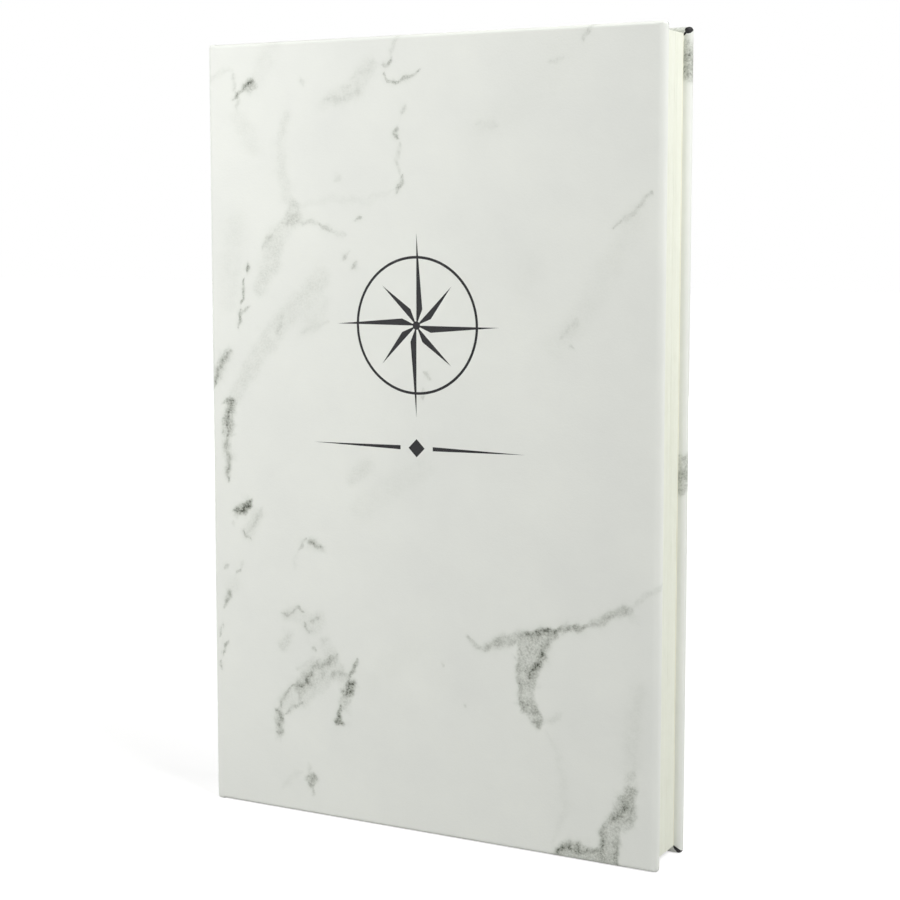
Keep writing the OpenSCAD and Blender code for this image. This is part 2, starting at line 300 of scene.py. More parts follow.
# The print lies on one flat sheet: U runs from the front cover's spine edge to its fore edge
# (positive) and round the spine to the back cover (negative), V from tail to head, in millimetres.
# Each vein: darkness, half width, then the points it runs through.
FRONT_VEINS = [
    (0.8, 0.48, (8, 194.8), (10, 196.4), (11.4, 197), (13, 198), (15.4, 199.6)),
    (0.4, 0.5, (9.9, 195.4), (9.7, 192)),
    (0.32, 0.5, (8.2, 202), (9.2, 199.4), (8.8, 196)),
    (0.2, 0.7, (-3, 199.5), (2, 201), (5.6, 202.4), (8, 203)),
    (0.35, 0.45, (30.2, 200), (31.2, 197.8)),
    (0.3, 0.8, (37.6, 193.6), (41, 193.8), (44.6, 194.2), (47.2, 195.4), (47.6, 197.6)),
    (0.24, 0.7, (43, 196.2), (45.4, 197.2)),
    (0.22, 0.9, (46.6, 199), (49, 199.8), (52, 203)),
    (0.66, 0.46, (54.6, 201.8), (56.6, 202.4), (57.6, 204)),
    (0.28, 0.55, (57.2, 204), (58.6, 207), (60.4, 212)),
    (0.66, 0.4, (55.4, 200.2), (56.6, 198.2), (59.8, 197.4), (63, 198.6), (66.2, 200.4)),
    (0.4, 0.5, (62.4, 192), (60.6, 188.8)),
    (0.72, 0.55, (59.4, 186.2), (59, 184.4), (60, 182.8)),
    (0.32, 0.5, (60.2, 182), (59.4, 178), (60.2, 174)),
    (0.6, 0.55, (60.8, 173.4), (60.2, 171), (59.2, 169)),
    (0.26, 0.7, (40.2, 172.4), (42.4, 174)),
    (0.2, 0.8, (82, 186), (85, 186.4), (88.4, 185.4)),
    (0.26, 0.6, (102.5, 200.6), (106, 202)),
    (0.36, 0.55, (111.8, 206), (113.6, 209), (115, 213)),
    (0.4, 0.55, (120, 160.4), (124, 162.6), (126.6, 165.6), (130.6, 168.8)),
    (0.34, 0.6, (25.6, 161), (28.2, 163.6)),
    (0.42, 0.5, (20.4, 158.6), (18.6, 156.6), (17.6, 154.4)),
    (0.36, 0.55, (29, 162), (33, 161.6), (36, 161.2)),
    (0.5, 0.6, (36, 161.2), (38, 160.2), (39.8, 158.8)),
    (0.26, 0.6, (39.8, 158.8), (44, 158.6)),
    (0.52, 0.45, (46.6, 162), (48.8, 162.8)),
    (0.13, 0.9, (30, 166), (40, 168), (50, 167), (58, 170)),
    (0.85, 0.42, (12.6, 150.8), (12.2, 147.6)),
    (0.72, 0.36, (11.5, 146), (11.1, 143), (10.3, 139.5)),
    (0.78, 0.42, (10.4, 138.6), (9.8, 136.2), (9.2, 133)),
    (0.55, 0.45, (13.2, 138.6), (11.4, 137.4), (9.8, 136.6)),
    (0.66, 0.6, (6.4, 126.8), (4.6, 124), (3, 121.6), (1.2, 118.6), (0.6, 115.8)),
    (0.66, 0.5, (3.4, 111.8), (5, 112.6), (7.2, 113.6)),
    (0.62, 0.5, (6.6, 112.4), (6, 109), (5, 105)),
    (0.6, 0.45, (5.2, 104.6), (5, 99), (5.6, 95), (5.4, 90)),
    (0.26, 0.6, (24, 137), (22.6, 134.6), (21.6, 132)),
    (0.22, 0.6, (30, 132.2), (32.6, 133.6), (38, 135.4)),
    (0.28, 0.6, (105.8, 132.8), (108.3, 134.8), (111, 137.6)),
    (0.34, 0.42, (108.6, 131), (110, 130.2)),
    (0.45, 0.55, (43, 152), (44.6, 154)),
    (0.48, 0.6, (45.4, 149.2), (47, 151)),
    (0.48, 0.6, (67.6, 122.8), (69, 121.6)),
    (0.42, 0.6, (66.6, 118.4), (67.2, 115.6)),
    (0.8, 0.55, (6.6, 82.2), (8.4, 83), (10.5, 82.8), (12.8, 84.4), (13.2, 85.8)),
    (0.36, 0.6, (16.4, 84), (14.8, 81.4), (13.4, 78), (12, 76.4)),
    (0.55, 0.42, (10.6, 77), (11, 75.4), (12.8, 75)),
    (0.25, 0.4, (7, 79.6), (7.6, 77.8)),
    (0.52, 0.45, (28.4, 73.2), (29.2, 75.4), (30.8, 76.4)),
    (0.66, 0.5, (31.4, 75.4), (33, 75), (35.4, 74.6)),
    (0.16, 0.5, (28, 72.5), (27, 70), (26.8, 67.5)),
    (0.48, 0.45, (3.2, 65.8), (5, 67)),
    (0.48, 0.42, (7.6, 65), (9, 66.4)),
    (0.2, 0.5, (9, 66.4), (9.8, 69)),
    (0.55, 0.55, (5.4, 59.4), (4.6, 57.8), (3.8, 55)),
    (0.46, 0.42, (2.6, 50.2), (2, 46.6)),
    (0.62, 0.42, (4.8, 45.6), (3.6, 44.2), (2.7, 42.2), (3.1, 41)),
    (0.52, 0.5, (2.2, 39.6), (2.6, 37)),
    (0.52, 0.42, (22.4, 55.6), (24.4, 54.8), (26.4, 55.4), (28, 57.2), (30, 56.2)),
    (0.62, 0.36, (29.8, 53.8), (30.2, 51.6), (31, 50.5), (32.2, 51)),
    (0.5, 0.42, (32, 53.2), (33.4, 54), (35, 55.2)),
    (0.55, 0.5, (32.4, 46.2), (34, 45.8)),
    (0.22, 0.6, (35.4, 49.6), (37.8, 49)),
    (0.75, 0.55, (46.6, 44.8), (45.4, 42.6), (44.4, 40), (44.2, 38)),
    (0.62, 0.6, (45.8, 38.4), (44.2, 37), (43, 35.2)),
    (0.72, 0.5, (41.6, 31.4), (40.6, 29), (40.2, 26.8), (42, 26.7)),
    (0.46, 0.6, (38.2, 39), (40.4, 40.4), (43.6, 40.6)),
    (0.46, 0.6, (40.4, 45.4), (38, 43.6), (35.4, 42), (32.6, 40.8)),
    (0.66, 0.72, (32.4, 39), (30, 36.8), (28, 35.4), (25.8, 35)),
    (0.55, 0.5, (25.8, 35), (24.4, 33.8), (23, 31.6), (21.8, 29.4), (20.2, 28)),
    (0.52, 0.46, (29, 31), (27.2, 29.8), (25.6, 29), (24.2, 27.4), (22.6, 26.6)),
    (0.36, 0.55, (30, 36.4), (28.6, 33.8), (28, 31.4)),
    (0.6, 0.5, (20, 28), (21.8, 27), (22.4, 25), (21.2, 23.8), (22.4, 22.6), (20.6, 21)),
    (0.26, 0.6, (27.4, 40), (30.4, 41.8), (33, 44)),
    (0.62, 0.55, (31, 10.6), (32.8, 10), (31.6, 8.6), (32.8, 8)),
    (0.42, 0.42, (32.4, 7.4), (32, 4.8)),
    (0.26, 0.5, (30.6, 14), (31.2, 11.4)),
    (0.14, 0.8, (22, 6), (26, 9.6), (29, 11.6)),
    (0.46, 0.6, (79.8, 54.8), (82, 52.6), (85, 52), (88, 53.4)),
    (0.42, 1.0, (87, 53), (90, 54.4), (93.4, 55.6), (97, 57)),
    (0.8, 0.62, (96.4, 57), (99.4, 57.8), (102.4, 58.4), (106, 59)),
    (0.78, 0.72, (104, 58.8), (108, 59.5), (112, 60.4), (114, 60.6)),
    (0.46, 0.8, (114, 60.6), (117, 61.9), (119.4, 63.6), (122, 65), (125.6, 66.4)),
    (0.26, 0.6, (125, 66.4), (129, 69.2), (134, 72.6), (140, 76), (147, 81)),
    (0.55, 0.6, (104, 56.6), (102, 53.4), (100.4, 50.4)),
    (0.45, 0.8, (101.4, 51.4), (99.8, 48.8), (98.2, 45.8)),
    (0.36, 0.5, (92.8, 51), (94.4, 49.6), (94.8, 45), (95, 40.4), (97.4, 36.6)),
    (0.5, 0.6, (97.6, 36.8), (99.4, 37.6), (100.6, 36.6)),
    (0.36, 0.6, (99, 35.4), (101, 33)),
    (0.24, 0.8, (101, 34.4), (104, 35.6), (107, 37.4)),
    (0.13, 0.9, (103, 32), (106, 27), (107.6, 20), (108.4, 13), (107, 9), (104.6, 4)),
    (0.36, 0.8, (126.6, 21), (125.2, 17), (123.8, 14.6), (121.4, 12)),
    (0.4, 0.6, (127.4, 17), (126, 13)),
    (0.4, 0.7, (122.4, 7.4), (122.2, 4), (122.6, 0), (122, -5)),
    (0.45, 0.6, (119, 10), (118, 6), (118.4, 2)),
    (0.66, 0.6, (106, 0.6), (107.6, 2.2), (109.6, 3.8), (110.4, 1.8)),
    (0.62, 0.6, (112, 5), (111.6, 2.6), (113.6, 2)),
    (0.55, 0.55, (114, 2.4), (116, 2.6), (118, 4.4)),
    (0.11, 1.2, (128.6, 47), (126.6, 38), (126.2, 30), (127, 24)),
    (0.42, 0.36, (72.6, 46.8), (73.4, 46)),
    (0.3, 0.32, (78.8, 36.6), (79.6, 35.6)),
]
# The spine and the back, which the photograph hides but for the back cover's fore edge
BACK_VEINS = [
    (0.45, 0.6, (-3, 199), (-8, 196), (-13, 197.5), (-19, 193), (-27, 189.5), (-33, 183)),
    (0.7, 0.5, (-8.6, 160), (-9.6, 155), (-8.4, 150), (-10.4, 146), (-10, 141)),
    (0.2, 1.6, (-3, 126), (-8, 131), (-14, 134), (-22, 141), (-31, 145), (-42, 154)),
    (0.62, 0.5, (-12, 100), (-11, 96), (-13.4, 92), (-12.6, 88)),
    (0.3, 1.1, (-5, 62), (-9, 57), (-16, 55), (-24, 49)),
    (0.75, 0.55, (-8, 30), (-10.4, 26.4), (-9.8, 22), (-12, 18)),
    (0.7, 0.55, (-33, 183), (-38, 179), (-41, 173), (-46.6, 170), (-49, 163), (-55, 158)),
    (0.4, 0.48, (-49, 163), (-47.6, 155), (-50, 148), (-49.4, 141)),
    (0.24, 1.6, (-55, 158), (-63, 155), (-70, 148), (-79, 145), (-86, 136)),
    (0.8, 0.62, (-86, 136), (-89.4, 131), (-88.6, 126), (-93, 121)),
    (0.36, 0.5, (-93, 121), (-101, 117), (-107, 110), (-116, 107.6), (-125, 101)),
    (0.3, 0.5, (-86, 136), (-95, 138), (-103, 144), (-110, 145.6)),
    (0.55, 0.5, (-110, 145.6), (-117, 150.4), (-123.4, 151), (-131, 157), (-139, 160)),
    (0.6, 0.6, (-152.6, 196), (-148, 192), (-141, 190.6), (-135, 186), (-131, 185.4)),
    (0.26, 2.2, (-162, 202.6), (-156, 201), (-151, 198), (-146, 194), (-139, 193)),
    (0.26, 0.5, (-131, 185.4), (-122, 187), (-116, 192), (-108, 193.4)),
    (0.26, 2.4, (-163, 95), (-156, 97.6), (-149, 97), (-140, 97.6)),
    (0.5, 0.55, (-158.6, 97.6), (-156.4, 98.2), (-154.2, 97.2)),
    (0.36, 0.5, (-158, 203.2), (-156.4, 200.4), (-154.6, 198.2)),
    (0.3, 0.6, (-154.4, 104), (-153.8, 100)),
    (0.7, 0.48, (-144, 96), (-137, 93.6), (-131.4, 95.4)),
    (0.75, 0.6, (-30, 112), (-34.6, 109), (-35.4, 104), (-40, 101), (-41, 96)),
    (0.3, 0.5, (-41, 96), (-46, 90), (-53, 88), (-57, 82), (-65, 80)),
    (0.22, 1.5, (-57, 82), (-61, 74), (-60, 66), (-66, 58), (-65, 50)),
    (0.85, 0.6, (-65, 50), (-67.4, 45), (-66.6, 40), (-70, 36)),
    (0.5, 0.42, (-72, 56), (-75.6, 53), (-79, 54)),
    (0.35, 0.6, (-65, 50), (-75, 47), (-84, 40), (-94, 39), (-103, 31)),
    (0.82, 0.6, (-103, 31), (-106.6, 27), (-105.4, 22), (-109, 18.6)),
    (0.28, 0.6, (-103, 31), (-112, 32.6), (-121, 38), (-130, 40)),
    (0.24, 0.6, (-109, 18.6), (-113, 10), (-112, 3), (-115, -6)),
    (0.6, 0.5, (-24, 49), (-29.4, 46), (-32, 40), (-38, 37.6)),
    (0.22, 1.2, (-38, 37.6), (-44, 30), (-43, 22), (-48, 15)),
    (0.62, 0.46, (-125, 66), (-128, 62.6), (-127, 59)),
    (0.5, 0.46, (-96, 176), (-99, 173.4), (-102.4, 174.6)),
    (0.55, 0.46, (-76, 196), (-79.4, 193.6), (-80.4, 190)),
    (0.16, 0.9, (-80.4, 190), (-85, 183), (-84, 175), (-89, 168)),
]
# Filled patches and clouds: strength, how softly the edge fades, then points with the half width
FRONT_PATCHES = [
    (0.5, 0.7, (12.8, 197.6, 0.8), (14.6, 198.6, 1.2)),
    (0.12, 1.8, (16, 200, 1.0), (19, 205, 1.4), (21, 210, 1.2)),
    (0.13, 1.6, (9.5, 190, 1.0), (13, 185, 1.6), (14.5, 182, 1.0)),
    (0.18, 1.2, (26, 190, 0.2), (24, 187, 0.5), (23.6, 180, 0.7), (24, 174, 0.7), (25.8, 168, 0.8)),
    (0.3, 1.1, (27.5, 166, 1.0), (27.4, 163.4, 1.9), (25.4, 161.6, 1.2)),
    (0.23, 1.3, (24.5, 160, 1.4), (21.5, 157, 2.0), (20.6, 152, 2.0), (18.4, 148, 1.7), (16.4, 143.6, 1.0)),
    (0.12, 2.0, (9, 162, 1.4), (7, 152, 1.8), (6.6, 140, 1.2)),
    (0.2, 1.5, (36, 147, 1.8), (31, 142, 2.0), (27, 138.6, 2.0), (23, 134.4, 1.8), (19, 129.4, 1.8),
     (14.5, 124, 1.6), (11, 119, 1.3), (8, 114, 1.0)),
    (0.13, 1.6, (35, 140, 2.2), (32, 134.6, 1.8)),
    (0.14, 1.6, (37, 193, 0.6), (46, 196, 1.6), (51, 202, 1.4)),
    (0.34, 0.9, (5.4, 125.4, 1.0), (3.4, 122.4, 1.2), (1.4, 118.6, 0.6)),
    (0.48, 0.8, (6.6, 112, 1.1), (5.8, 108, 1.3), (5, 104, 1.2)),
    (0.3, 0.8, (5, 104, 1.0), (5.3, 98, 0.8), (5.4, 92, 0.4)),
    (0.55, 0.6, (8, 82.6, 0.8), (10.4, 83.2, 1.1), (12.6, 84.6, 0.6)),
    (0.2, 1.2, (15, 82, 0.6), (11.6, 76.4, 1.0)),
    (0.36, 0.7, (32.2, 75.4, 0.6), (34.8, 74.8, 0.6)),
    (0.18, 1.3, (46, 94, 1.2), (49.6, 97.6, 1.2)),
    (0.1, 2.2, (48, 86, 1.6), (54, 90, 1.8), (60, 94, 1.8), (67, 97.5, 1.2)),
    (0.3, 0.6, (5, 58.8, 0.7), (4.4, 57, 0.5)),
    (0.14, 1.2, (6, 60.6, 0.8), (7.6, 62.4, 0.8)),
    (0.17, 1.3, (24.6, 55, 1.0), (29, 55, 1.4), (32.6, 52.4, 1.6), (35, 55, 1.0)),
    (0.25, 0.8, (22.8, 46, 0.9), (24.6, 48.2, 0.9)),
    (0.16, 1.3, (36, 48, 1.0), (38.6, 45, 1.4)),
    (0.34, 1.0, (38, 43, 1.6), (34.4, 40.4, 2.0), (31, 37.4, 2.2), (28.6, 35, 1.6)),
    (0.22, 1.2, (38.6, 39.8, 1.4), (35, 37.6, 1.6), (32, 34.6, 1.5), (29.4, 31.6, 1.0)),
    (0.17, 1.2, (26, 33.4, 1.6), (23.6, 29.6, 1.4)),
    (0.36, 0.7, (21.2, 27, 0.8), (21.8, 24, 0.9), (21.2, 21.6, 0.7)),
    (0.56, 0.7, (45.6, 38.2, 0.4), (44, 36.8, 1.2), (43.2, 35.4, 1.2)),
    (0.36, 0.8, (43, 34, 1.3), (42.2, 32, 0.8)),
    (0.48, 0.5, (40.6, 28.6, 0.5), (40.4, 26.8, 0.7), (41.6, 26.8, 0.3)),
    (0.22, 1.0, (42.4, 38, 1.2), (41, 41, 1.2)),
    (0.42, 0.5, (31.4, 10.2, 0.9), (32.8, 9.6, 1.0), (32, 8.4, 0.9)),
    (0.46, 0.6, (104.6, 57.8, 0.8), (100.6, 56.4, 2.0), (98.4, 54.6, 3.0), (98, 51, 3.1), (97.2, 47, 2.4),
     (96.9, 43, 2.0), (97.3, 39.4, 1.9), (98.8, 36.6, 1.5), (100.8, 34, 0.7)),
    (0.36, 0.8, (104, 57.4, 0.9), (102, 54, 1.1), (100, 50, 1.0)),
    (0.56, 1.0, (101, 51.4, 0.6), (99.6, 48.6, 1.0), (98, 45.8, 0.4)),
    (0.3, 0.9, (86, 52.4, 0.5), (91, 54.6, 0.9), (96, 56.2, 1.0)),
    (0.3, 0.7, (116, 61.4, 0.4), (120, 64, 0.9), (125, 66, 0.7)),
    (0.26, 0.9, (126.6, 24.6, 0.5), (126.2, 21, 1.3)),
    (0.46, 0.8, (126, 20, 1.2), (124.6, 15.4, 1.9), (122.4, 12, 1.9), (120.8, 8.4, 2.0), (120.2, 4, 2.2),
     (120, 0, 2.4), (119.6, -5, 2.4)),
    (0.34, 0.9, (126.6, 15.6, 0.8), (125.4, 12.4, 1.2), (123.4, 10.4, 1.2)),
    (0.62, 0.7, (124.8, 15.8, 0.8), (122, 12.8, 0.6)),
    (0.46, 0.7, (106, 0.4, 0.8), (108.4, 2.2, 1.6), (111.4, 2.8, 1.9), (114, 1.6, 1.5), (118, 2.4, 1.4)),
    (0.5, 0.6, (122, 5.0, 0.6), (122.2, 1, 0.5)),
    (0.1, 2.0, (128, 46, 0.6), (126.6, 36, 1.0), (126.4, 26, 1.2)),
    (0.06, 4.0, (84, 184, 1.0), (98, 194, 1.5), (108, 204, 1.5)),
    (0.07, 3.0, (98, 152, 0.8), (96, 146, 0.8)),
    (0.1, 3.0, (104, 131, 0.6), (110, 136, 0.8), (126, 162, 0.8)),
    (0.06, 3.0, (50, 38, 0.5), (57, 45, 1.0), (66, 51, 0.6)),
]
BACK_PATCHES = [
    (0.2, 2.0, (-3, 126, 1.0), (-14, 134, 1.6), (-31, 145, 1.8), (-42, 154, 1.2)),
    (0.3, 1.6, (-30, 186, 1.2), (-38, 179, 2.0), (-42, 172, 1.6), (-49, 163, 1.2)),
    (0.2, 2.0, (-55, 158, 1.2), (-70, 148, 2.0), (-86, 136, 1.4)),
    (0.48, 0.8, (-88, 134, 1.0), (-89, 129, 1.6), (-92, 123, 1.0)),
    (0.14, 2.5, (-93, 121, 1.5), (-107, 111, 1.8)),
    (0.5, 0.8, (-164, 203, 3.2), (-156.4, 201.4, 4.6), (-150, 197, 1.8), (-143, 193, 1.0)),
    (0.2, 1.2, (-163, 207, 1.6), (-156.4, 206.4, 1.4)),
    (0.46, 0.8, (-136, 212.7, 0.8), (-151, 212.5, 1.4)),
    (0.44, 0.9, (-164, 96, 2.4), (-156, 98.4, 4.6), (-149, 97, 2.2), (-140, 97, 0.8)),
    (0.44, 0.8, (-31, 113, 1.0), (-35, 106, 1.6), (-39, 99, 0.9)),
    (0.2, 1.8, (-58, 82, 1.2), (-61, 68, 1.6), (-65, 52, 1.6)),
    (0.46, 0.8, (-65.6, 49, 1.0), (-67, 42, 1.5), (-69.6, 37, 0.8)),
    (0.22, 2.0, (-84, 41, 1.0), (-98, 35, 1.6), (-105, 26, 1.4)),
    (0.5, 0.7, (-104, 29, 0.8), (-106, 23, 1.1)),
    (0.2, 1.6, (-26, 48, 1.0), (-36, 38, 1.4), (-44, 28, 1.2)),
    (0.34, 0.9, (-9, 158, 0.6), (-9.4, 150, 1.1), (-10, 143, 0.6)),
    (0.36, 0.8, (-11.4, 98, 0.6), (-12.6, 90, 1.0)),
    (0.14, 2.4, (-108, 144, 1.2), (-124, 152, 1.6), (-138, 160, 1.2)),
    (0.26, 1.0, (-96, 176, 0.6), (-101, 174, 0.8)),
]
# Beyond this reach a vein is gone
FAR = 9.0
# At its ends a vein has this share of its width, and a quarter of the way in all of it
TAPER = 0.45


def wobble(uv):
    """Small smooth offsets that keep the veins from running straight."""
    u, v = uv[:, 0], uv[:, 1]
    du = (0.30 * np.sin(v * 0.83 + 0.7 * np.sin(u * 0.61)) + 0.16 * np.sin(v * 1.9 + u * 1.1 + 1.3)
          + 0.07 * np.sin(v * 4.1 - u * 3.3 + 0.4))
    dv = (0.28 * np.sin(u * 0.91 + 0.8 * np.sin(v * 0.53)) + 0.16 * np.sin(u * 2.1 - v * 1.3 + 2.1)
          + 0.07 * np.sin(u * 3.7 + v * 3.9 + 1.9))
    return uv + np.stack([du, dv], 1)


def along(uv, a, b):
    """Distance from each point to the segment a-b, and how far along the segment it is."""
    a, b = np.array(a, float), np.array(b, float)
    ab = b - a
    t = np.clip((uv - a) @ ab / (ab @ ab), 0, 1)
    return np.hypot(*(uv - a - t[:, None] * ab).T), t


def within(at, points, margin):
    """Which points lie in the box round these, with a margin."""
    return np.all((at > points.min(0) - margin) & (at < points.max(0) + margin), axis=1)


def vein_reach(at, wide, points):
    """Distance from a vein over its width, which tapers towards both ends."""
    lengths = np.hypot(*np.diff(np.array(points), axis=0).T)
    total, run = lengths.sum(), 0.0
    best = np.full(len(at), FAR * 2)
    for (a, b), length in zip(zip(points, points[1:]), lengths):
        distance, t = along(at, a, b)
        place = (run + t * length) / total
        taper = TAPER + (1 - TAPER) * np.clip(4 * np.minimum(place, 1 - place), 0, 1)
        best = np.minimum(best, distance / (wide * taper))
        run += length
    return best


def print_fields(uv):
    """Vein reach (distance over width), vein darkness and cloud strength at each sheet point."""
    at = wobble(uv)
    reach = np.full(len(uv), FAR)
    dark, cloud = np.zeros(len(uv)), np.zeros(len(uv))
    for strength, wide, *points in FRONT_VEINS + BACK_VEINS:
        near = within(at, np.array(points), FAR)
        if not near.any():
            continue
        best = vein_reach(at[near], wide, points)
        # The vein that leaves the darker mark at a point is the one kept there
        mark_new = strength * np.exp(-np.minimum(best, FAR) ** 2 / 2)
        mark_old = dark[near] * np.exp(-reach[near] ** 2 / 2)
        take = mark_new > mark_old
        reach[near] = np.where(take, np.minimum(best, FAR), reach[near])
        dark[near] = np.where(take, strength, dark[near])
    for strength, fade, *points in FRONT_PATCHES + BACK_PATCHES:
        near = within(at, np.array(points)[:, :2], 3 * FAR)
        spots = at[near]
        edge = np.full(len(spots), np.inf)
        for a, b in zip(points, points[1:]):
            distance, t = along(spots, a[:2], b[:2])
            edge = np.minimum(edge, distance - a[2] - t * (b[2] - a[2]))
        cloud[near] = np.maximum(cloud[near], strength * np.exp(-(np.maximum(edge, 0) / fade) ** 2))
    return reach, dark, cloud


# Materials. Texture scales are in cycles per millimetre, the floor's per metre, and bump heights
# in metres.

PEBBLES, PEBBLE_HEIGHT, PADDING_HEIGHT = 1.55, 0.000018, 0.00012
# The dark mitre at the fore corners, at head and tail: half width, how much it swells, how far in it
# is widest, and the radius of the blot at the corner. Then how slowly the swelling falls off, and
# how far in the blot's middle lies.
HEAD_SEAM, TAIL_SEAM = (0.30, 0.12, 1.6, 0.85), (0.18, 0.5, 0.8, 0.0)
SWELL_RUN, BLOT_AT = 1.7, 0.85
WEAVE_HEIGHT = 0.00009
# The floor's glow to the camera: its strength under the book, and the distances in metres between
# which it rises to white
FLOOR_GLOW, GLOW_FROM, GLOW_TO = 0.66, 0.25, 0.85


def marble_print(n, sheet):
    """The printed colour: frayed grey-green veins and clouds on a warm white ground."""
    reach, dark, cloud = (n.attribute(name) for name in ("reach", "dark", "cloud"))
    # Veins: the stored distance, roughened at two scales, then broken up along its length
    fray = (n.noise(sheet, 0.55) - 0.5) * 1.6 + (n.noise(sheet, 2.6, rough=0.65) - 0.5) * 2.0
    ragged = n.math("MAXIMUM", reach + fray, 0.0)
    core = 2.0 ** (ragged ** 2.6 * -0.7)
    halo = 2.0 ** (ragged * reach * -0.16)
    broken = (n.map(n.noise(sheet, 0.6, 2.0, 0.6), 0.36, 0.62, 0.45, 1.0)
              * n.map(n.noise(sheet, 2.2, 3.0, 0.7), 0.34, 0.6, 0.5, 1.05))
    line = core * dark * broken
    smoke = halo * dark * 0.20
    # Clouds: soft edges roughened, with a speckle as fine as the leather's grain
    speckle = n.map(n.noise(sheet, 1.7, 3.0, 0.7), 0.36, 0.64, 0.62, 1.32)
    drift = n.map(n.noise(sheet, 0.30, 4.0, 0.6), 0.3, 0.7, 0.55, 1.25)
    haze = cloud * drift * speckle
    ink = n.math("MAXIMUM", line * 0.9 + haze * 0.45, line * 0.45 + haze)
    ink = n.math("ADD", ink, smoke, clamp=True)
    ground = n.ramp(n.noise(sheet, 0.035, 4.0, 0.55), (0.3, srgb(231, 233, 227)),
                    (0.7, srgb(236, 238, 231)))
    inks = n.ramp(ink, (0.0, srgb(200, 205, 194)), (0.35, srgb(160, 165, 152)),
                  (0.75, srgb(112, 116, 103)), (1.0, srgb(72, 76, 65)))
    return n.mix(ink, ground, inks)


def bare_seams(n, sheet):
    """Where the turn-ins meet at the fore corners and the black core shows."""
    x, y, z = n.split(n.attribute("rest", "Vector"))
    from_fore, from_head = COVER_W - x, COVER_H - z
    ragged = (n.noise(sheet, 1.8, 2.0) - 0.5) * 0.3

    def seam(from_end, half, swell, widest, blot_r):
        """A dark line along the mitre, thickest a little way in, with a round blot at the corner."""
        across = n.math("ABSOLUTE", from_fore - from_end) + ragged
        past = from_end - widest
        half_here = n.math("MAXIMUM", past * past * (-swell / SWELL_RUN) + (half + swell), half)
        line = n.math("LESS_THAN", across, half_here)
        if not blot_r:
            return line
        away = n.math("SQRT", (from_fore - BLOT_AT) ** 2.0 + (from_end - BLOT_AT) ** 2.0)
        return n.math("MAXIMUM", line, n.math("LESS_THAN", away + ragged, blot_r))

    bare = n.math("MAXIMUM", seam(from_head, *HEAD_SEAM), seam(z, *TAIL_SEAM))
    inside = n.math("GREATER_THAN", y, HALF_T) * n.math("LESS_THAN", from_fore, TURN_IN)
    return bare * inside


def leather_material():
    """The printed faux leather, with fine pebbles, creases between them and an uneven padding."""
    n = material_nodes("marble_leather")
    sheet = n.attribute("sheet", "Vector")
    colour = n.mix(bare_seams(n, sheet), marble_print(n, sheet), srgb(34, 34, 35))
    pebble = n.voronoi(sheet, PEBBLES, "SMOOTH_F1", Smoothness=0.5)
    crease = n.voronoi(sheet, PEBBLES, "DISTANCE_TO_EDGE")
    grain = pebble * -0.6 + n.math("MINIMUM", crease, 0.12) * 2.0
    relief = n.bump(n.noise(sheet, 0.09, 2.0), PADDING_HEIGHT, normal=n.bump(grain, PEBBLE_HEIGHT))
    rough = n.map(n.noise(sheet, 0.6, 4.0, 0.6), 0.3, 0.7, 0.50, 0.60)
    return n.coat(colour, rough, relief, 0.35)


def core_material():
    """The black core that the engraving bares."""
    n = material_nodes("engraved_core")
    at = n.attribute("sheet", "Vector")
    colour = n.ramp(n.noise(at, 1.6, 4.0, 0.6), (0.3, srgb(27, 27, 29)), (0.75, srgb(40, 40, 42)))
    burn = n.bump(n.noise(at, 5.0, 3.0, 0.7), 0.00003)
    return n.coat(colour, n.map(n.noise(at, 2.4), 0.3, 0.7, 0.5, 0.68), burn, 0.35)


def backing_material():
    """The woven backing on the skin's hidden side."""
    n = material_nodes("skin_backing")
    at = n.attribute("sheet", "Vector")
    colour = n.ramp(n.noise(at, 2.2), (0.3, srgb(60, 60, 62)), (0.7, srgb(82, 82, 84)))
    return n.coat(colour, 0.9, n.bump(n.noise(at, 6.0), 0.00005), 0.2)


def pages_material():
    """Cut edges of the leaves: streaks that run along each leaf, some leaves a little darker."""
    n = material_nodes("cut_pages")
    at = n.object_point()
    flat = n.stretch(at, (0.02, 1.0, 0.02))
    leaf = n.noise(flat, 5.2, 3.0, 0.7)
    group = n.noise(flat, 0.55, 2.0)
    mottle = n.noise(at, 0.35, 3.0, 0.6)
    tone = leaf * 0.60 + (group * 0.18 + mottle * 0.22)
    colour = n.ramp(tone, (0.26, srgb(231, 232, 218)), (0.50, srgb(238, 240, 227)),
                    (0.76, srgb(243, 245, 234)))
    cut = n.bump(leaf, 0.00004, 0.8, n.bump(n.noise(at, 3.0, 3.0, 0.7), 0.00002))
    return n.coat(colour, 0.85, cut, 0.25)


def paper_material():
    """Uncoated endpaper: faint fibres and clouding."""
    n = material_nodes("endpaper_paper")
    at = n.object_point()
    fibre = n.noise(n.stretch(at, (1.0, 1.0, 0.35)), 2.6, 5.0, 0.7)
    cloudy = n.noise(at, 0.12)
    colour = n.ramp(fibre * 0.5 + cloudy * 0.5, (0.32, srgb(232, 231, 212)), (0.68, srgb(243, 242, 227)))
    tooth = n.bump(fibre, 0.00003, 0.7, n.bump(cloudy, 0.0001, 0.5))
    return n.coat(colour, n.map(fibre, 0.3, 0.7, 0.8, 0.92), tooth, 0.2)


def board_material():
    """Raw greyboard with dark flecks."""
    n = material_nodes("grey_board")
    at = n.object_point()
    fibre = n.noise(n.stretch(at, (1.0, 2.5, 0.5)), 1.6, 5.0, 0.7)
    fleck = n.math("GREATER_THAN", n.noise(at, 3.4, 1.0), 0.68)
    grey = n.ramp(fibre, (0.3, srgb(128, 124, 114)), (0.7, srgb(160, 156, 145)))
    return n.coat(n.mix(fleck, grey, srgb(96, 92, 84)), 0.95, n.bump(fibre, 0.00008), 0.15)


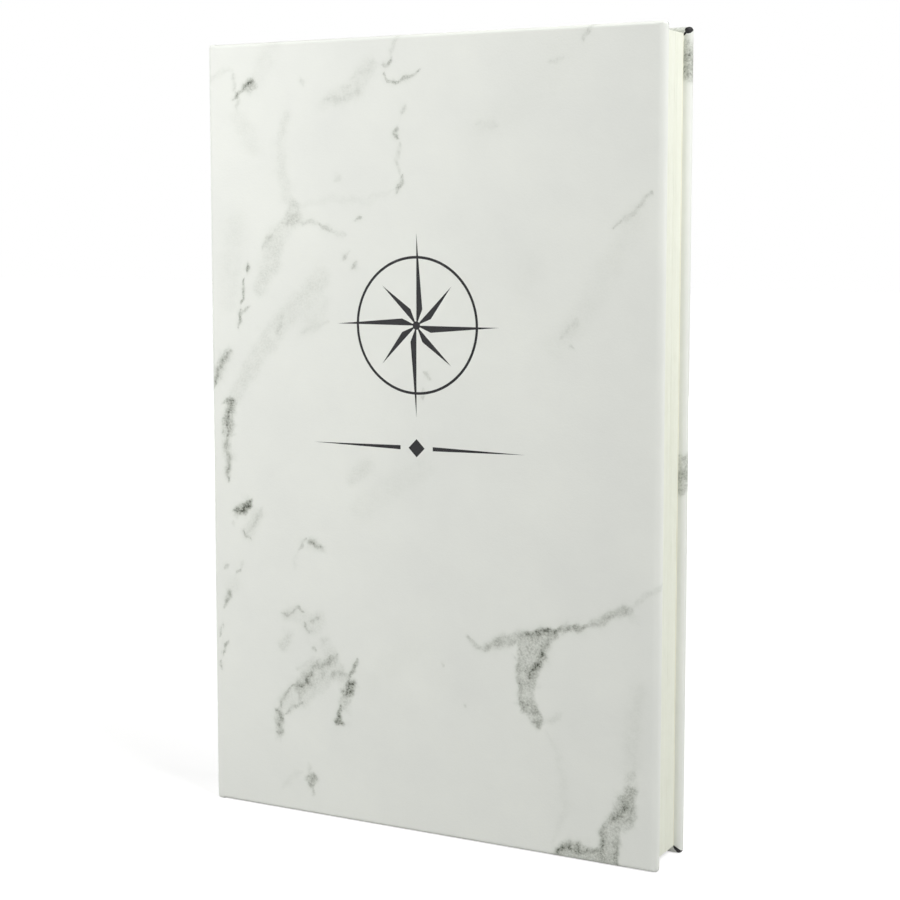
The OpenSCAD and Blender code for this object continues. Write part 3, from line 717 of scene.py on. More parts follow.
def cloth_material(name, warp, weft, pitch):
    """Plain weave with its threads along Z and across."""
    n = material_nodes(name)
    at = n.object_point()
    _, y, z = n.split(at)
    across, up = (n.math("SINE", place * (2 * math.pi / pitch)) for place in (y, z))
    weave = across * up * 0.25 + 0.5
    tone = weave * 0.65 + n.noise(at, 3.0, 4.0, 0.7) * 0.35
    return n.coat(n.ramp(tone, (0.3, warp), (0.7, weft)), 0.88, n.bump(tone, WEAVE_HEIGHT), 0.2)


def floor_material():
    """Pale floor that shows white to the camera and keeps a soft shadow."""
    n = material_nodes("studio_floor")
    at = n.object_point(1.0)
    colour = n.ramp(n.noise(at, 2.0, 2.0), (0.3, (0.45, 0.45, 0.447)), (0.7, (0.46, 0.46, 0.457)))
    path = n.add("ShaderNodeLightPath")
    camera_ray, glossy, through = (Field(n, path.outputs[name]) for name in
                                   ("Is Camera Ray", "Is Glossy Ray", "Is Transmission Ray"))
    seen = n.math("MAXIMUM", camera_ray, n.math("MAXIMUM", glossy, through))
    strength = seen * n.map(n.length(at), GLOW_FROM, GLOW_TO, FLOOR_GLOW, 1.0, "SMOOTHSTEP")
    diffuse = n.shader("ShaderNodeBsdfDiffuse", Color=colour)
    glow = n.shader("ShaderNodeEmission", Strength=strength)
    return n.finish(n.join("ShaderNodeAddShader", diffuse, glow))


LEATHER, CORE, BACKING = leather_material(), core_material(), backing_material()
PAGES, PAPER, BOARD = pages_material(), paper_material(), board_material()
LINING = cloth_material("lining_cloth", srgb(186, 168, 128), srgb(214, 198, 160), 0.9)
BAND = cloth_material("band_cloth", srgb(222, 219, 206), srgb(246, 244, 236), 0.5)


# Meshes

BOX_SIDES = ((0, 1, 3, 2), (4, 6, 7, 5), (0, 4, 5, 1), (2, 3, 7, 6), (0, 2, 6, 4), (1, 5, 7, 3))


def make(name, points, faces, materials, slots=None, sharp=35.0):
    """A mesh object from book millimetres, smooth but for edges sharper than that angle."""
    mesh = bpy.data.meshes.new(name)
    mesh.from_pydata(row(points).tolist(), [], [tuple(f) for f in faces])
    for material in materials:
        mesh.materials.append(material)
    if slots is not None:
        mesh.polygons.foreach_set("material_index", np.asarray(slots, np.int32))
    mesh.validate()
    solid = bmesh.new()
    solid.from_mesh(mesh)
    bmesh.ops.recalc_face_normals(solid, faces=solid.faces)
    solid.to_mesh(mesh)
    solid.free()
    mesh.update()
    if sharp:
        mesh.polygons.foreach_set("use_smooth", [True] * len(mesh.polygons))
        mesh.set_sharp_from_angle(angle=math.radians(sharp))
    obj = bpy.data.objects.new(name, mesh)
    bpy.context.scene.collection.objects.link(obj)
    return obj


def store(obj, sheet, rest):
    """Keeps the print's sheet position, the rest position and the vein fields on the mesh."""
    attributes = obj.data.attributes
    sheet = np.asarray(sheet, float)
    flat = np.zeros((len(sheet), 3))
    flat[:, :2] = sheet
    for name, values in (("sheet", flat), ("rest", rest)):
        data = attributes.new(name, "FLOAT_VECTOR", "POINT").data
        data.foreach_set("vector", np.asarray(values, np.float32).ravel())
    for name, values in zip(("reach", "dark", "cloud"), print_fields(sheet)):
        attributes.new(name, "FLOAT", "POINT").data.foreach_set("value", values.astype(np.float32))


def grid_faces(rows, cols, closed=False):
    """Quads of a grid whose vertices are stored row by row."""
    faces = []
    for i in range(rows - 1):
        for j in range(cols if closed else cols - 1):
            k = (j + 1) % cols
            faces.append((i * cols + j, i * cols + k, (i + 1) * cols + k, (i + 1) * cols + j))
    return faces


def tube_faces(rows, count):
    """Closed loops joined one after the other, with a cap at each end."""
    caps = [tuple(range(count - 1, -1, -1)), tuple((rows - 1) * count + j for j in range(count))]
    return grid_faces(rows, count, closed=True) + caps


def sheet_faces(rows, cols, start=0):
    """A thin closed sheet: a grid, the same grid on its other side and the rim between them."""
    size = rows * cols
    grid = grid_faces(rows, cols)
    rim = ([i * cols for i in range(rows)] + [(rows - 1) * cols + j for j in range(1, cols)]
           + [i * cols + cols - 1 for i in range(rows - 2, -1, -1)] + list(range(cols - 2, 0, -1)))
    faces = grid + [tuple(size + i for i in f[::-1]) for f in grid]
    faces += [(b, a, size + a, size + b) for a, b in zip(rim, rim[1:] + rim[:1])]
    return [tuple(start + i for i in f) for f in faces]


def leather_piece(name, front, points, faces, slots, sheet):
    """A piece of the skin from points of the front half, mirrored for the back."""
    rest = np.array(points)
    if not front:
        faces = [f[::-1] for f in faces]
    obj = make(name, rest if front else mirrored(rest), faces, [LEATHER, CORE, BACKING], slots)
    store(obj, sheet, rest)
    return obj


def blend_to_cover(obj, front, cover_body, start, end):
    """Lets a piece bend between the pages and its cover, from one place in the joint to another."""
    places = np.array([(*start, 0.0), (*end, 0.0)])
    start, end = row(places if front else mirrored(places))
    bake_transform(obj, "block", cover_body, start=tuple(start), end=tuple(end))


# Skin profile

# Steps of the roundings, of the cover's outline and of its side at the hinge
FACE_STEPS, INSIDE_STEPS, BOARD_STEPS = 10, 9, 3
ARC_STEPS, END_STEPS, FORE_STEPS = 14, 200, 340
HINGE_STEPS = 60


def quarter(steps):
    return np.linspace(0, math.pi / 2, steps)


def rim_profile(over_face, over_inside, thick=COVER_T):
    """The skin's section across a cover edge: inset from the outline, depth from the face, and the
    inset that the same spot has on the flat sheet. It starts on the face and ends on the turn-in."""
    half = thick / 2
    section = [(over_face * (1 - math.sin(t)), half * (1 - math.cos(t))) for t in quarter(FACE_STEPS)]
    section += [(over_inside * (1 - math.cos(t)), half * (1 + math.sin(t)))
                for t in quarter(INSIDE_STEPS)[1:]]
    section += [(inset, thick) for inset in (over_inside + PAST_ROUND, *TURN_IN_ROWS, TURN_IN)]
    runs = np.cumsum([0.0] + [math.dist(a, b) for a, b in zip(section, section[1:])])
    return [(inset, depth, over_face - run) for (inset, depth), run in zip(section, runs)]


def inner_profile(thick=COVER_T):
    """The hidden side of the wall, from the turn-in's free end back under the face."""
    r = min(BOARD_R, BOARD_R_SHARE * (thick - 2 * WRAP_T))
    inside = thick - WRAP_T
    section = [(TURN_IN, inside), (WRAP_T + r + PAST_BOARD, inside)]
    section += [(WRAP_T + r * (1 - math.sin(t)), inside - r * (1 - math.cos(t)))
                for t in quarter(BOARD_STEPS)]
    section += [(WRAP_T + r * (1 - math.cos(t)), WRAP_T + r * (1 - math.sin(t)))
                for t in quarter(BOARD_STEPS)]
    return [(inset, depth, inset) for inset, depth in section]


def pulled(depth, place):
    """A depth in the section of a covered board, at that distance from the spine corner."""
    deep = np.clip((depth - HALF_T) / HALF_T, 0, 1)
    return depth - (COVER_T - PULLED_T) * (1 - ease((place - JOINT) / PULL_W)) * deep


FORE_RIM, END_RIM, INNER = rim_profile(SOFT_FACE, SOFT_IN), rim_profile(END_FACE, END_IN), inner_profile()
FOLD_RIM, FOLD_INNER = rim_profile(END_FACE, FOLD_IN, FOLD_T), inner_profile(FOLD_T)


def edge_path(fore, end):
    """Points along tail, fore edge and head at those two insets, and how near the mitre each is."""
    rx, rz = max(CORNER_R - fore, 0.0), max(CORNER_R - end, 0.0)
    cx, cz = COVER_W - max(CORNER_R, fore), max(CORNER_R, end)
    gx, gz = (SEAM_HALF if fore > CORNER_R else 0.0), (SEAM_HALF if end > CORNER_R else 0.0)
    tail = [(JOINT + t * (cx - gx - JOINT), end) for t in np.linspace(0, 1, END_STEPS)[:-1]]
    arc, marks = [], []
    for s in np.arange(ARC_STEPS + 1) / ARC_STEPS:
        a = math.pi / 2 * s
        arc.append((cx + rx * math.sin(a) - gx * (1 - s), cz - rz * math.cos(a) + gz * s))
        marks.append(1 - abs(2 * s - 1))
    fore_z = [cz + gz + t * (COVER_H - 2 * cz - 2 * gz) for t in np.linspace(0, 1, FORE_STEPS)]
    path = tail + arc + [(COVER_W - fore, z) for z in fore_z[1:-1]]
    path += [(x, COVER_H - z) for x, z in arc[::-1] + tail[::-1]]
    marks = [0.0] * len(tail) + marks + [0.0] * (FORE_STEPS - 2) + marks[::-1] + [0.0] * len(tail)
    return np.array(path), np.array(marks)


# Engraving

# Steps of the ring and the dot
RING_STEPS, DOT_STEPS = 144, 32


def circle(r, steps):
    turns = [2 * math.pi * k / steps for k in range(steps)]
    return [(ROSE_X + r * math.cos(t), ROSE_Z + r * math.sin(t)) for t in turns]


def engraving_shapes():
    """Closed outlines of the engraving in cover millimetres; the last one is the ring's hole."""
    shapes = []
    half = math.pi / POINTS
    waist = (ROSE_WAIST * math.sin(half), ROSE_WAIST * math.cos(half))
    for i in range(POINTS):
        turn = 2 * math.pi * i / POINTS
        blade = [(0.0, 0.0), waist, (0.0, ROSE_LONG if i % 2 == 0 else ROSE_SHORT)]
        shapes.append([(ROSE_X + x * math.cos(turn) - y * math.sin(turn),
                        ROSE_Z + x * math.sin(turn) + y * math.cos(turn)) for x, y in blade])
    middle = ROSE_Z - RULE_DROP
    for side in (1, -1):
        start = ROSE_X + side * 2 * LOZENGE_R
        rule = [(start, middle - RULE_LINE / 2), (start + side * RULE_HALF, middle),
                (start, middle + RULE_LINE / 2)]
        shapes.append(rule[::side])
    shapes.append([(ROSE_X - LOZENGE_R, middle), (ROSE_X, middle - LOZENGE_R),
                   (ROSE_X + LOZENGE_R, middle), (ROSE_X, middle + LOZENGE_R)])
    return shapes + [circle(ROSE_DOT, DOT_STEPS), circle(RING_R, RING_STEPS),
                     circle(RING_R - RING_LINE, RING_STEPS)]


# Points on the face: a close grid by the veins and in the dark of the clouds, every second one in
# faint clouds, and a wide grid everywhere. Each keeps a margin from the outline of the flat.
CLOSE_STEP, ROW_SHIFT, CLOSE_MARGIN = 0.5, 0.2, 0.3
WIDE_STEP, WIDE_FROM, WIDE_MARGIN = 2.6, (1.2, 1.0), 1.0
VEIN_REACH, VEIN_DARK, CLOUD_DARK, CLOUD_FAINT = 3.4, 0.05, 0.22, 0.02
# Points closer than this are one point
MERGE = 1e-5


def face_points(sheet_of):
    """Points for the flat of a cover face: close together by the veins and sparse elsewhere."""
    low = np.array([JOINT, FLAT_END])
    high = np.array([COVER_W - FLAT_FORE, COVER_H - FLAT_END])

    def grid(start, stop, step):
        axes = [np.arange(start[i], stop[i], step) for i in (0, 1)]
        return np.stack(np.meshgrid(*axes), -1).reshape(-1, 2)

    wide = grid(low + WIDE_FROM, high - WIDE_MARGIN, WIDE_STEP)
    close = grid(low + CLOSE_MARGIN, high - CLOSE_MARGIN, CLOSE_STEP)
    reach, dark, cloud = print_fields(sheet_of(close))
    step = np.round((close - low - CLOSE_MARGIN) / CLOSE_STEP).astype(int)
    dense = ((reach < VEIN_REACH) & (dark > VEIN_DARK)) | (cloud > CLOUD_DARK)
    middling = (cloud > CLOUD_FAINT) & np.all(step % 2 == 0, axis=1)
    # Every second row is shifted, so that the triangles are even
    close[:, 0] += np.where(step[:, 1] % 2, ROW_SHIFT, 0.0)
    return np.concatenate([wide, close[dense | middling]])


def triangulate(outline, shapes, extra):
    """Fills an outline with triangles. Gives the points, the triangles, each with whether the
    engraving sinks it, and the number of the point at each place of the outline."""
    coords, loops = [], []
    for loop in [outline] + shapes:
        loops.append(list(range(len(coords), len(coords) + len(loop))))
        coords.extend(Vector(p) for p in loop)
    coords.extend(Vector(p) for p in extra)
    spots, _, tris, sources, _, owners = geometry.delaunay_2d_cdt(coords, [], loops, 0, MERGE, True)
    ring, ring_hole = len(loops) - 2, len(loops) - 1
    cut = set(range(1, ring))
    filled = []
    for tri, owner in zip(tris, owners):
        sunk = bool(cut & set(owner)) or (ring in owner and ring_hole not in owner)
        if 0 in owner:
            filled.append((tri, sunk))
    number = {old: new for new, olds in enumerate(sources) for old in olds}
    return spots, filled, [number[i] for i in range(len(outline))]


# Cover panels

def cover_panel(name, front, body):
    """The skin of one cover past the bending strip, as a closed shell."""

    def sheet_of(flat):
        return flat if front else np.stack([-BOOK_T - flat[:, 0], flat[:, 1]], 1)

    points, sheet = [], []
    rings = list(zip(FORE_RIM + INNER, END_RIM + INNER))
    for (fore, depth, flat_fore), (end, _, flat_end) in rings:
        path, mark = edge_path(fore, end)
        groove = SEAM_DEPTH * mark * (fore > CORNER_R) * (depth >= COVER_T)
        points += [(x, pulled(depth, x) - dip, z) for (x, z), dip in zip(path, groove)]
        sheet.extend(edge_path(flat_fore, flat_end)[0])
    steps = len(path)
    # Rings follow each other from the face round to the hidden side
    faces = grid_faces(len(rings), steps)
    slots = [2 if j >= len(FORE_RIM) - 1 else 0 for j in range(len(rings) - 1) for _ in range(steps - 1)]
    # The flat of the face, triangulated round the engraving
    hinge_z = np.linspace(COVER_H - FLAT_END, FLAT_END, HINGE_STEPS)[1:-1]
    outline = [tuple(p) for p in edge_path(FLAT_FORE, FLAT_END)[0]] + [(JOINT, z) for z in hinge_z]
    spots, tris, corners = triangulate(outline, engraving_shapes() if front else [], face_points(sheet_of))
    at, sides = {}, {}

    def vertex(k, sunk):
        if (k, sunk) not in at:
            at[k, sunk] = len(points)
            x, z = spots[k]
            points.append((x, ENGRAVE_DEPTH if sunk else 0.0, z))
            sheet.append((x, z))
        return at[k, sunk]

    for tri, sunk in tris:
        faces.append(tuple(vertex(k, sunk) for k in tri))
        slots.append(1 if sunk else 0)
        for a, b in zip(tri, tri[1:] + tri[:1]):
            sides.setdefault((min(a, b), max(a, b)), []).append((sunk, a, b))
    for pair in sides.values():
        if len(pair) == 2 and pair[0][0] != pair[1][0]:
            _, a, b = pair[0] if pair[0][0] else pair[1]
            faces.append((at[b, True], at[a, True], at[a, False], at[b, False]))
            slots.append(1)
    # Join the flat to the first ring, which runs along the same path
    ring = [at[k, False] for k in corners]
    faces += [(ring[i], ring[i + 1], i + 1, i) for i in range(steps - 1)]
    # Close the hidden side and the end at the hinge
    last = (len(rings) - 1) * steps
    tail = [j * steps for j in range(len(rings))]
    head = [j * steps + steps - 1 for j in range(len(rings))]
    faces.append(tuple(range(last, last + steps)))
    faces.append(tuple(ring[steps:] + [ring[0]] + tail + head[::-1] + [ring[steps - 1]]))
    slots += [0] * (steps - 1) + [2, 0]
    obj = leather_piece(name, front, points, faces, slots, sheet_of(np.array(sheet)))
    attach(obj, body)
    return obj


# Bending strips and spine

# Heights of the points on the strips and the spine, close enough to carry the veins
Z_STEPS = np.linspace(FLAT_END, COVER_H - FLAT_END, 400)
# Stations of the strip: shares of the way along each leg, and steps round the corner
LEG_SHARES, STRIP_STEPS = np.array([0.33, 0.66, 1.0]), 15
# Stations of the spine: close together by the strips, and wide apart from here on
EDGE_STEPS, SPINE_EDGE, SPINE_STEPS = 5, 4.2, 14


def swept(name, front, rim, inner, spots, us):
    """Closed piece of skin whose section from tail to head is the same at every station. A spot
    gives the station's X and Y for a depth from the outside, and us its places on the sheet."""
    loop = [(0.0, z, z) for z in Z_STEPS]
    loop += [(depth, COVER_H - inset, COVER_H - flat) for inset, depth, flat in rim + inner]
    loop += [(depth, inset, flat) for inset, depth, flat in (rim + inner)[::-1]]
    points = [(*spot(depth), z) for spot in spots for depth, z, _ in loop]
    sheet = [(u, flat) for u in us for _, _, flat in loop]
    first_hidden, last_hidden = len(Z_STEPS) + len(rim) - 1, len(loop) - len(rim)
    around = [2 if first_hidden <= j < last_hidden else 0 for j in range(len(loop))]
    slots = around * (len(spots) - 1) + [0, 0]
    return leather_piece(name, front, points, tube_faces(len(spots), len(loop)), slots, sheet)


def bending_strip(name, front, cover_body):
    """The skin round the spine corner, which bends when the cover opens."""
    legs = SPINE_R + LEG_SHARES * (JOINT - SPINE_R)
    spots = [lambda depth, y=y: (depth, y) for y in legs[::-1]]
    spots += [lambda depth, a=a: (SPINE_R - (SPINE_R - depth) * math.cos(a),
                                  SPINE_R - (SPINE_R - depth) * math.sin(a)) for a in quarter(STRIP_STEPS)]
    spots += [lambda depth, x=x: (x, depth) for x in legs]
    outer = [spot(0.0) for spot in spots]
    runs = np.cumsum([0.0] + [math.dist(a, b) for a, b in zip(outer, outer[1:])])
    # On the sheet the strip's cover end is at U = JOINT and its spine end at -JOINT
    us = runs / runs[-1] * 2 * JOINT - JOINT
    obj = swept(name, front, FOLD_RIM, FOLD_INNER, spots, us if front else -BOOK_T - us)
    blend_to_cover(obj, front, cover_body, (BEND_NEAR, BEND_FAR), (BEND_FAR, BEND_NEAR))


def spine_panel(name):
    """The flat of the spine between the two strips."""
    ends = JOINT + np.linspace(0, PULL_W, EDGE_STEPS)
    flat = np.linspace(SPINE_EDGE, BOOK_T - SPINE_EDGE, SPINE_STEPS)
    ys = np.concatenate([ends, flat, BOOK_T - ends[::-1]])[::-1]
    spots = [lambda depth, y=y: (pulled(depth, min(y, BOOK_T - y)), y) for y in ys]
    obj = swept(name, True, END_RIM, INNER, spots, -ys)
    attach(obj, "block")
    return obj


def edge_turn_in(name, body, at_spine, sides):
    """The turn-in where it runs over the boards' edges into the joint, at head and tail. The depth
    is counted from the skin's outside, and the edge is the one that faces the joint."""
    points, faces = [], []
    for front in sides:
        for ends in ((EDGE_INSET, TURN_IN), (COVER_H - TURN_IN, COVER_H - EDGE_INSET)):
            faces += [tuple(len(points) + i for i in side) for side in BOX_SIDES]
            box = np.array([(edge, depth, z) for edge in (JOINT - EDGE_T, JOINT)
                            for depth in EDGE_DEPTHS for z in ends])
            if at_spine:
                box = box[:, [1, 0, 2]]
            points.extend(box if front else mirrored(box))
    points = np.array(points)
    obj = make(name, points, faces, [LEATHER])
    store(obj, points[:, [0, 2]], points)
    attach(obj, body)


# Paper pieces

# Rows across a paper piece: offsets round each mark, the step at the two ends, and the wide rows
# with how far from the ends they start and stop
MARK_STEPS = (-1.2, -0.8, -0.5, -0.3, -0.15, 0.0, 0.15, 0.3, 0.5)
EDGE_STEP, WIDE_ROWS, ROWS_FROM, ROWS_TO = 0.15, 4.0, 2.0, 1.0
# The marks at the free edges of the turn-ins at tail and head, a little past them
TAIL_MARK, HEAD_MARK = TURN_IN + 0.7, COVER_H - TURN_IN - 0.2
# The glued sheet's half thickness, as a share of the endpaper's
PASTE_SHARE = 0.4
LEG_STEPS, FOLD_STEPS = 7, 15
# The hinge line's place, and the ways inwards from it and across to the pages
DIAG, SIDE = np.array([1.0, 1.0]) / math.sqrt(2), np.array([-1.0, 1.0]) / math.sqrt(2)
MIDDLE = np.array([PIVOT, PIVOT])


def lift(from_rim):
    """How far the turned-in skin lifts the endpaper, by the distance past the turn-in's free edge."""
    return float(LIFT * (1 - ease((from_rim + LIFT_START) / LIFT_RUN)))


def from_turn_ins(z):
    """How far a height is from the free edge of the nearer turn-in at head or tail."""
    return min(z - TURN_IN, COVER_H - TURN_IN - z)


def spread(low, high, marks):
    """Places from low to high, close together by the marks."""
    places = [low, low + EDGE_STEP, high - EDGE_STEP, high]
    places += [mark + step for mark in marks for step in MARK_STEPS]
    places += list(np.arange(low + ROWS_FROM, high - ROWS_TO, WIDE_ROWS))
    return np.array(sorted({round(p, 3) for p in places if low <= p <= high}))


PAPER_Z = spread(TAIL_SQUARE, PAGE_TOP, [TAIL_MARK, HEAD_MARK])


def in_joint(inwards, to_pages):
    """A point in the joint: distance from the hinge line inwards, and towards the pages."""
    return tuple(MIDDLE + DIAG * inwards + SIDE * to_pages)


def fold_reach(raised):
    """How near the hinge line the fold goes, where the endpaper is raised by the turn-in."""
    return NEAR + (NEAR_ON_TURN_IN - NEAR) * raised / LIFT


def normals(line):
    """Unit normals along a line of points."""
    tangent = np.gradient(line, axis=0)
    tangent /= np.hypot(*tangent.T)[:, None]
    return np.stack([-tangent[:, 1], tangent[:, 0]], 1)


def pastedown(name, front, body):
    """Endpaper glued inside a cover. It sinks softly between the turn-ins and shows their seams, and
    at the spine it runs on over the board's edge into the joint."""
    half, half_leg = ENDPAPER_T * PASTE_SHARE, LEG_T / 2
    far = (PASTE_LEG_END - PIVOT) * math.sqrt(2) - LEG_OFF
    layers = [[], []]
    for z in PAPER_Z:
        raised = lift(from_turn_ins(z))
        leg = [in_joint(reach, -LEG_OFF) for reach in np.linspace(fold_reach(raised), far, LEG_STEPS)]
        line = [(x, y, half_leg) for x, y in leg]
        line += [(x, y + share * raised, half_leg) for x, y, share in PASTE_BEND]
        # The last point of the bend is halfway between the thin leg and the full sheet
        line[-1] = (*line[-1][:2], (half + half_leg) / 2)
        for x in spread(PASTE_START, PAGE_END, [COVER_W - TURN_IN]):
            top = COVER_T + ENDPAPER_T - LIFT + lift(min(COVER_W - TURN_IN - x, from_turn_ins(z)))
            line.append((x, top - half, half))
        line = np.array(line)
        normal = normals(line[:, :2])
        normal[len(leg) + len(PASTE_BEND) - 1:] = (0.0, 1.0)
        for layer, side in zip(layers, (1, -1)):
            layer.append([(x, y, z) for x, y in line[:, :2] + side * normal * line[:, 2:]])
    # Rows run along the height
    points = np.concatenate([np.array(layer).transpose(1, 0, 2).reshape(-1, 3) for layer in layers])
    if not front:
        points = mirrored(points)
    obj = make(name, points, sheet_faces(len(line), len(PAPER_Z)), [PAPER], sharp=50)
    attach(obj, body)
    return obj


def paper_strip(name, front, section_at):
    """A thin closed piece along the joint, from its section at each height."""
    sections = [section_at(lift(from_turn_ins(z))) for z in PAPER_Z]
    points = np.array([(x, y, z) for z, section in zip(PAPER_Z, sections) for x, y in section])
    if not front:
        points = mirrored(points)
    obj = make(name, points, tube_faces(len(PAPER_Z), len(sections[0])), [PAPER], sharp=60)
    return obj


def joint_leg(name, front):
    """The endpaper from the flyleaf down into the joint."""
    far = (FLY_LEG_END - PIVOT) * math.sqrt(2) + LEG_OFF

    def section_at(raised):
        leg = [in_joint(reach, LEG_OFF) for reach in np.linspace(far, fold_reach(raised), LEG_STEPS)]
        line = np.array([*FLY_BEND, *leg])
        normal = normals(line) * LEG_T / 2
        return list(line + normal) + list((line - normal)[::-1])

    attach(paper_strip(name, front, section_at), "block")


def joint_fold(name, front, cover_body):
    """The fold between the two legs: closed up while the book is shut, it opens with the cover."""
    # Even steps of turn from one leg to the other
    steps = [0.5 - math.sin(math.asin(1 - 2 * w) / 3) for w in np.linspace(0, 1, FOLD_STEPS)]
    bend = [BAND_OFF * (1 - 2 * t) for t in steps]
    dips = [math.sqrt(LEG_OFF ** 2 - off ** 2) for off in bend]
    high, low = LEG_OFF + LEG_T / 2, LEG_OFF - LEG_T / 2

    def section_at(raised):
        near = fold_reach(raised)
        outer = [(near + LAP, high), (near, high), (near - SHOULDER, SHOULDER_OFF)]
        outer += [(near - dip - LEG_T / 2, off) for dip, off in zip(dips, bend)]
        outer += [(near - SHOULDER, -SHOULDER_OFF), (near, -high), (near + LAP, -high)]
        inner = [(near + LAP, -low), (near, -low)]
        inner += [(near - dip + LEG_T / 2, off) for dip, off in zip(dips[::-1], bend[::-1])]
        inner += [(near, low), (near + LAP, low)]
        return [in_joint(*place) for place in outer + inner]

    obj = paper_strip(name, front, section_at)
    blend_to_cover(obj, front, cover_body, in_joint(NEAR, BAND_OFF), in_joint(NEAR, -BAND_OFF))


# Pages and headbands

# The leaves drawn, how unevenly their cuts lie, and the steps along the fore edge and the ends
LEAVES, CUT_SPREAD = 110, 0.012
LONG_STEPS, SHORT_STEPS = 36, 8
# How far the fore edge is hollowed, and how unevenly the leaves stand at the fore edge and the ends
HOLLOW, FORE_GAP, FORE_SPREAD, END_SPREAD = 0.07, 0.02, 0.018, 0.035
# Each wave of the fore edge: size, half turns along the edge, share of the leaf's own drift
WAVES = ((0.04, 3.1, 1), (0.03, 7.7, 2))
# From leaf to leaf the drift keeps this share of itself and changes about this much
DRIFT_KEPT, DRIFT_SPREAD = 0.8, 0.35
# The headband's bead: radius, how far out of the block's corner its middle lies, how far its threads
# stand out and how many there are; its steps along a thread and around, and its narrower ends
BEAD_R, BEAD_OUT, WOUND, THREADS = 0.52, 0.3, 0.07, 26
THREAD_STEPS, AROUND, CAP = 6, 16, 0.75
# The bead is flattened this far over the pages' head, and behind the pages below it
BEAD_LOW, BEAD_LOW_BEHIND = 0.01, -0.25
# Its cloth tab reaches from below the head to above it
TAB_BELOW, TAB_ABOVE, TAB_STEPS = 8.0, 0.2, (14, 10)


def leaf_outline(fore, head, tail, lean):
    """One leaf's outline, with a faint wave along the fore edge."""
    x0, x1, z0, z1 = BLOCK_START, PAGE_END - fore, TAIL_SQUARE + tail, PAGE_TOP - head
    short, long = (np.linspace(0, 1, steps, endpoint=False) for steps in (SHORT_STEPS, LONG_STEPS))
    points = [(x0 + (x1 - x0) * t, z0) for t in short]
    for t in long:
        wave = sum(size * math.sin(turns * t * math.pi + times * lean) for size, turns, times in WAVES)
        points.append((x1 - (HOLLOW + wave) * math.sin(t * math.pi), z0 + (z1 - z0) * t))
    points += [(x1 + (x0 - x1) * t, z1) for t in short]
    return points + [(x0, z1 + (z0 - z1) * t) for t in long]


def page_block():
    """All the leaves in one closed solid whose cut edges step in and out a little, leaf by leaf."""
    rng = np.random.default_rng(4)
    cuts = np.linspace(0, BLOCK_T, LEAVES + 1)
    cuts[1:-1] += rng.normal(0, CUT_SPREAD, LEAVES - 1)
    points, drift = [], 0.0
    for i in range(LEAVES):
        drift = DRIFT_KEPT * drift + rng.normal(0, DRIFT_SPREAD)
        fore = abs(rng.normal(0, FORE_SPREAD)) + FORE_GAP
        head, tail = abs(rng.normal(0, END_SPREAD)), abs(rng.normal(0, END_SPREAD))
        outline = leaf_outline(fore, head, tail, drift)
        points += [(x, PAGE_FRONT + y, z) for y in cuts[i:i + 2] for x, z in outline]
    faces = tube_faces(2 * LEAVES, len(outline))
    obj = make("page_leaves", np.array(points), faces, [PAGES], sharp=None)
    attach(obj, "block")
    return obj


def headband(name, at_head):
    """Woven bead with its wound threads, on a cloth tab behind the block."""
    points = []
    rings = THREADS * THREAD_STEPS
    for i in range(rings + 1):
        wound = BEAD_R + WOUND * abs(math.sin(math.pi * i / THREAD_STEPS))
        r = wound * (CAP if i in (0, rings) else 1.0)
        for a in np.arange(AROUND) * (2 * math.pi / AROUND):
            x, z = BLOCK_START + BEAD_OUT + r * math.cos(a), PAGE_TOP + BEAD_OUT + r * math.sin(a)
            low = PAGE_TOP + (BEAD_LOW if x > BLOCK_START else BEAD_LOW_BEHIND)
            points.append((x, PAGE_FRONT + BLOCK_T * i / rings, max(z, low)))
    faces = tube_faces(rings + 1, AROUND)
    faces += sheet_faces(*TAB_STEPS, start=len(points))
    ys = np.linspace(PAGE_FRONT, PAGE_FRONT + BLOCK_T, TAB_STEPS[0])
    zs = np.linspace(PAGE_TOP - TAB_BELOW, PAGE_TOP + TAB_ABOVE, TAB_STEPS[1])
    points += [(x, y, z) for x in (BLOCK_START - LINING_T, BLOCK_START) for y in ys for z in zs]
    points = np.array(points)
    if not at_head:
        points[:, 2] = PAGE_TOP + TAIL_SQUARE - points[:, 2]
    obj = make(name, points, faces, [BAND], sharp=70)
    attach(obj, "block")
    return obj


# Build

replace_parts(cover_panel("front_leather", True, "front_cover"), "front_skin")
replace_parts(cover_panel("back_leather", False, "back_cover"), "back_skin")
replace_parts(spine_panel("spine_leather"), "spine_skin")
edge_turn_in("front_edge_leather", "front_cover", False, [True])
edge_turn_in("back_edge_leather", "back_cover", False, [False])
edge_turn_in("spine_edge_leather", "block", True, [True, False])
SIDES = (("front", True), ("back", False))
for side, front in SIDES:
    bending_strip(side + "_hinge_leather", front, side + "_cover")
for side, front in SIDES:
    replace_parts(pastedown(side + "_pastedown_paper", front, side + "_cover"), side + "_pastedown")
for side, front in SIDES:
    joint_leg(side + "_joint_leg", front)
    joint_fold(side + "_joint_fold", front, side + "_cover")
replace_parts(page_block(), "text_block")
for end, at_head in (("head", True), ("tail", False)):
    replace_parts(headband(end + "_band_woven", at_head), end + "_band")

for node, material in (("front_board", BOARD), ("back_board", BOARD), ("spine_board", BOARD),
                       ("spine_lining", LINING), ("front_flyleaf", PAPER), ("back_flyleaf", PAPER)):
    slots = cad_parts[node].data.materials
    slots.clear()
    slots.append(material)


# Camera, lamps and floor, the last two in metres

# The camera follows the photo's corners, with as much shift as the other views can take. It stands
# at a point in book millimetres.
PHOTO_PX, FOCAL_PX, SENSOR = 900, 1865.0, 36.0
YAW, PITCH = math.radians(28.20), math.radians(-5.77)
CAMERA_AT = (301.0, -421.7, 160.8)
SHIFT_Y = -0.04
NEAR_CLIP, FAR_CLIP = 0.01, 20.0
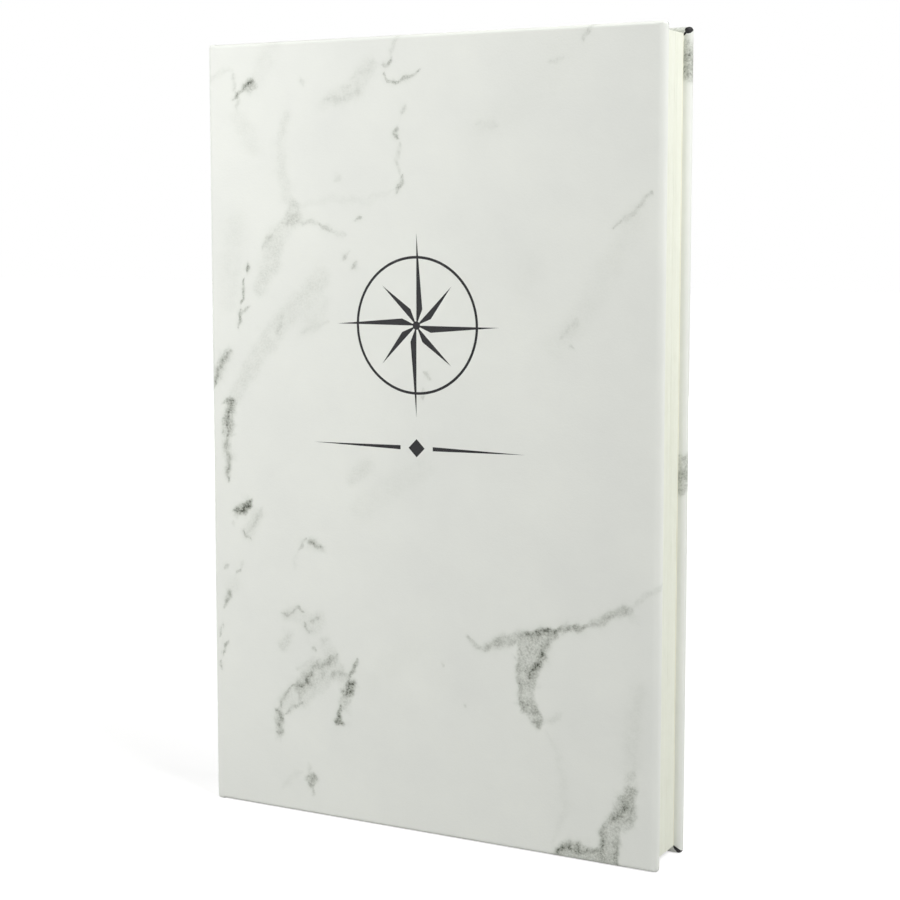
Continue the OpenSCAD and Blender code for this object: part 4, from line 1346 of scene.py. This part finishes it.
# Each lamp: name, place, the spot it aims at, size, power
LAMPS = (("key", (-0.35, -0.35, 0.30), (-0.02, 0.0, 0.12), 0.28, 1.95),
         ("side", (0.54, -0.14, 0.66), (0.06, 0.0, 0.14), 0.42, 6.2),
         ("rear", (-0.25, 1.15, 0.45), (0.0, 0.0, 0.12), 0.9, 8.6))
AMBIENT, AMBIENT_COLOUR = 0.068, (0.98, 0.985, 1.0, 1.0)
FLOOR_HALF = 4.0

scene = bpy.context.scene


def place(name, data, at, towards):
    """An object that looks along a direction."""
    obj = bpy.data.objects.new(name, data)
    scene.collection.objects.link(obj)
    obj.location = at
    obj.rotation_mode = "QUATERNION"
    obj.rotation_quaternion = towards.to_track_quat("-Z", "Y")
    return obj


camera = bpy.data.cameras.new("camera")
camera.sensor_width = SENSOR
camera.lens = FOCAL_PX * SENSOR / PHOTO_PX
camera.shift_y = SHIFT_Y
camera.clip_start, camera.clip_end = NEAR_CLIP, FAR_CLIP
forward = Vector((-math.sin(YAW) * math.cos(PITCH), math.cos(YAW) * math.cos(PITCH), math.sin(PITCH)))
scene.camera = place("camera", camera, row(CAMERA_AT), forward)

for name, at, aim, size, watts in LAMPS:
    lamp = bpy.data.lights.new(name, "AREA")
    lamp.shape = "DISK"
    lamp.size = size
    lamp.energy = watts
    place(name, lamp, at, Vector(aim) - Vector(at))

scene.world = bpy.data.worlds.new("studio")
n = Nodes(scene.world, "ShaderNodeOutputWorld")
ray = Field(n, n.add("ShaderNodeLightPath").outputs["Is Camera Ray"])
soft = n.shader("ShaderNodeBackground", Color=AMBIENT_COLOUR, Strength=AMBIENT)
white = n.shader("ShaderNodeBackground", Color=(1.0, 1.0, 1.0, 1.0), Strength=1.0)
n.finish(n.join("ShaderNodeMixShader", ray, soft, white))

corners = [(x * FLOOR_HALF, y * FLOOR_HALF, 0) for x, y in ((-1, -1), (1, -1), (1, 1), (-1, 1))]
floor_mesh = bpy.data.meshes.new("floor")
floor_mesh.from_pydata(corners, [], [(0, 1, 2, 3)])
floor_mesh.materials.append(floor_material())
floor = bpy.data.objects.new("floor", floor_mesh)
scene.collection.objects.link(floor)

scene.view_settings.view_transform = "Standard"
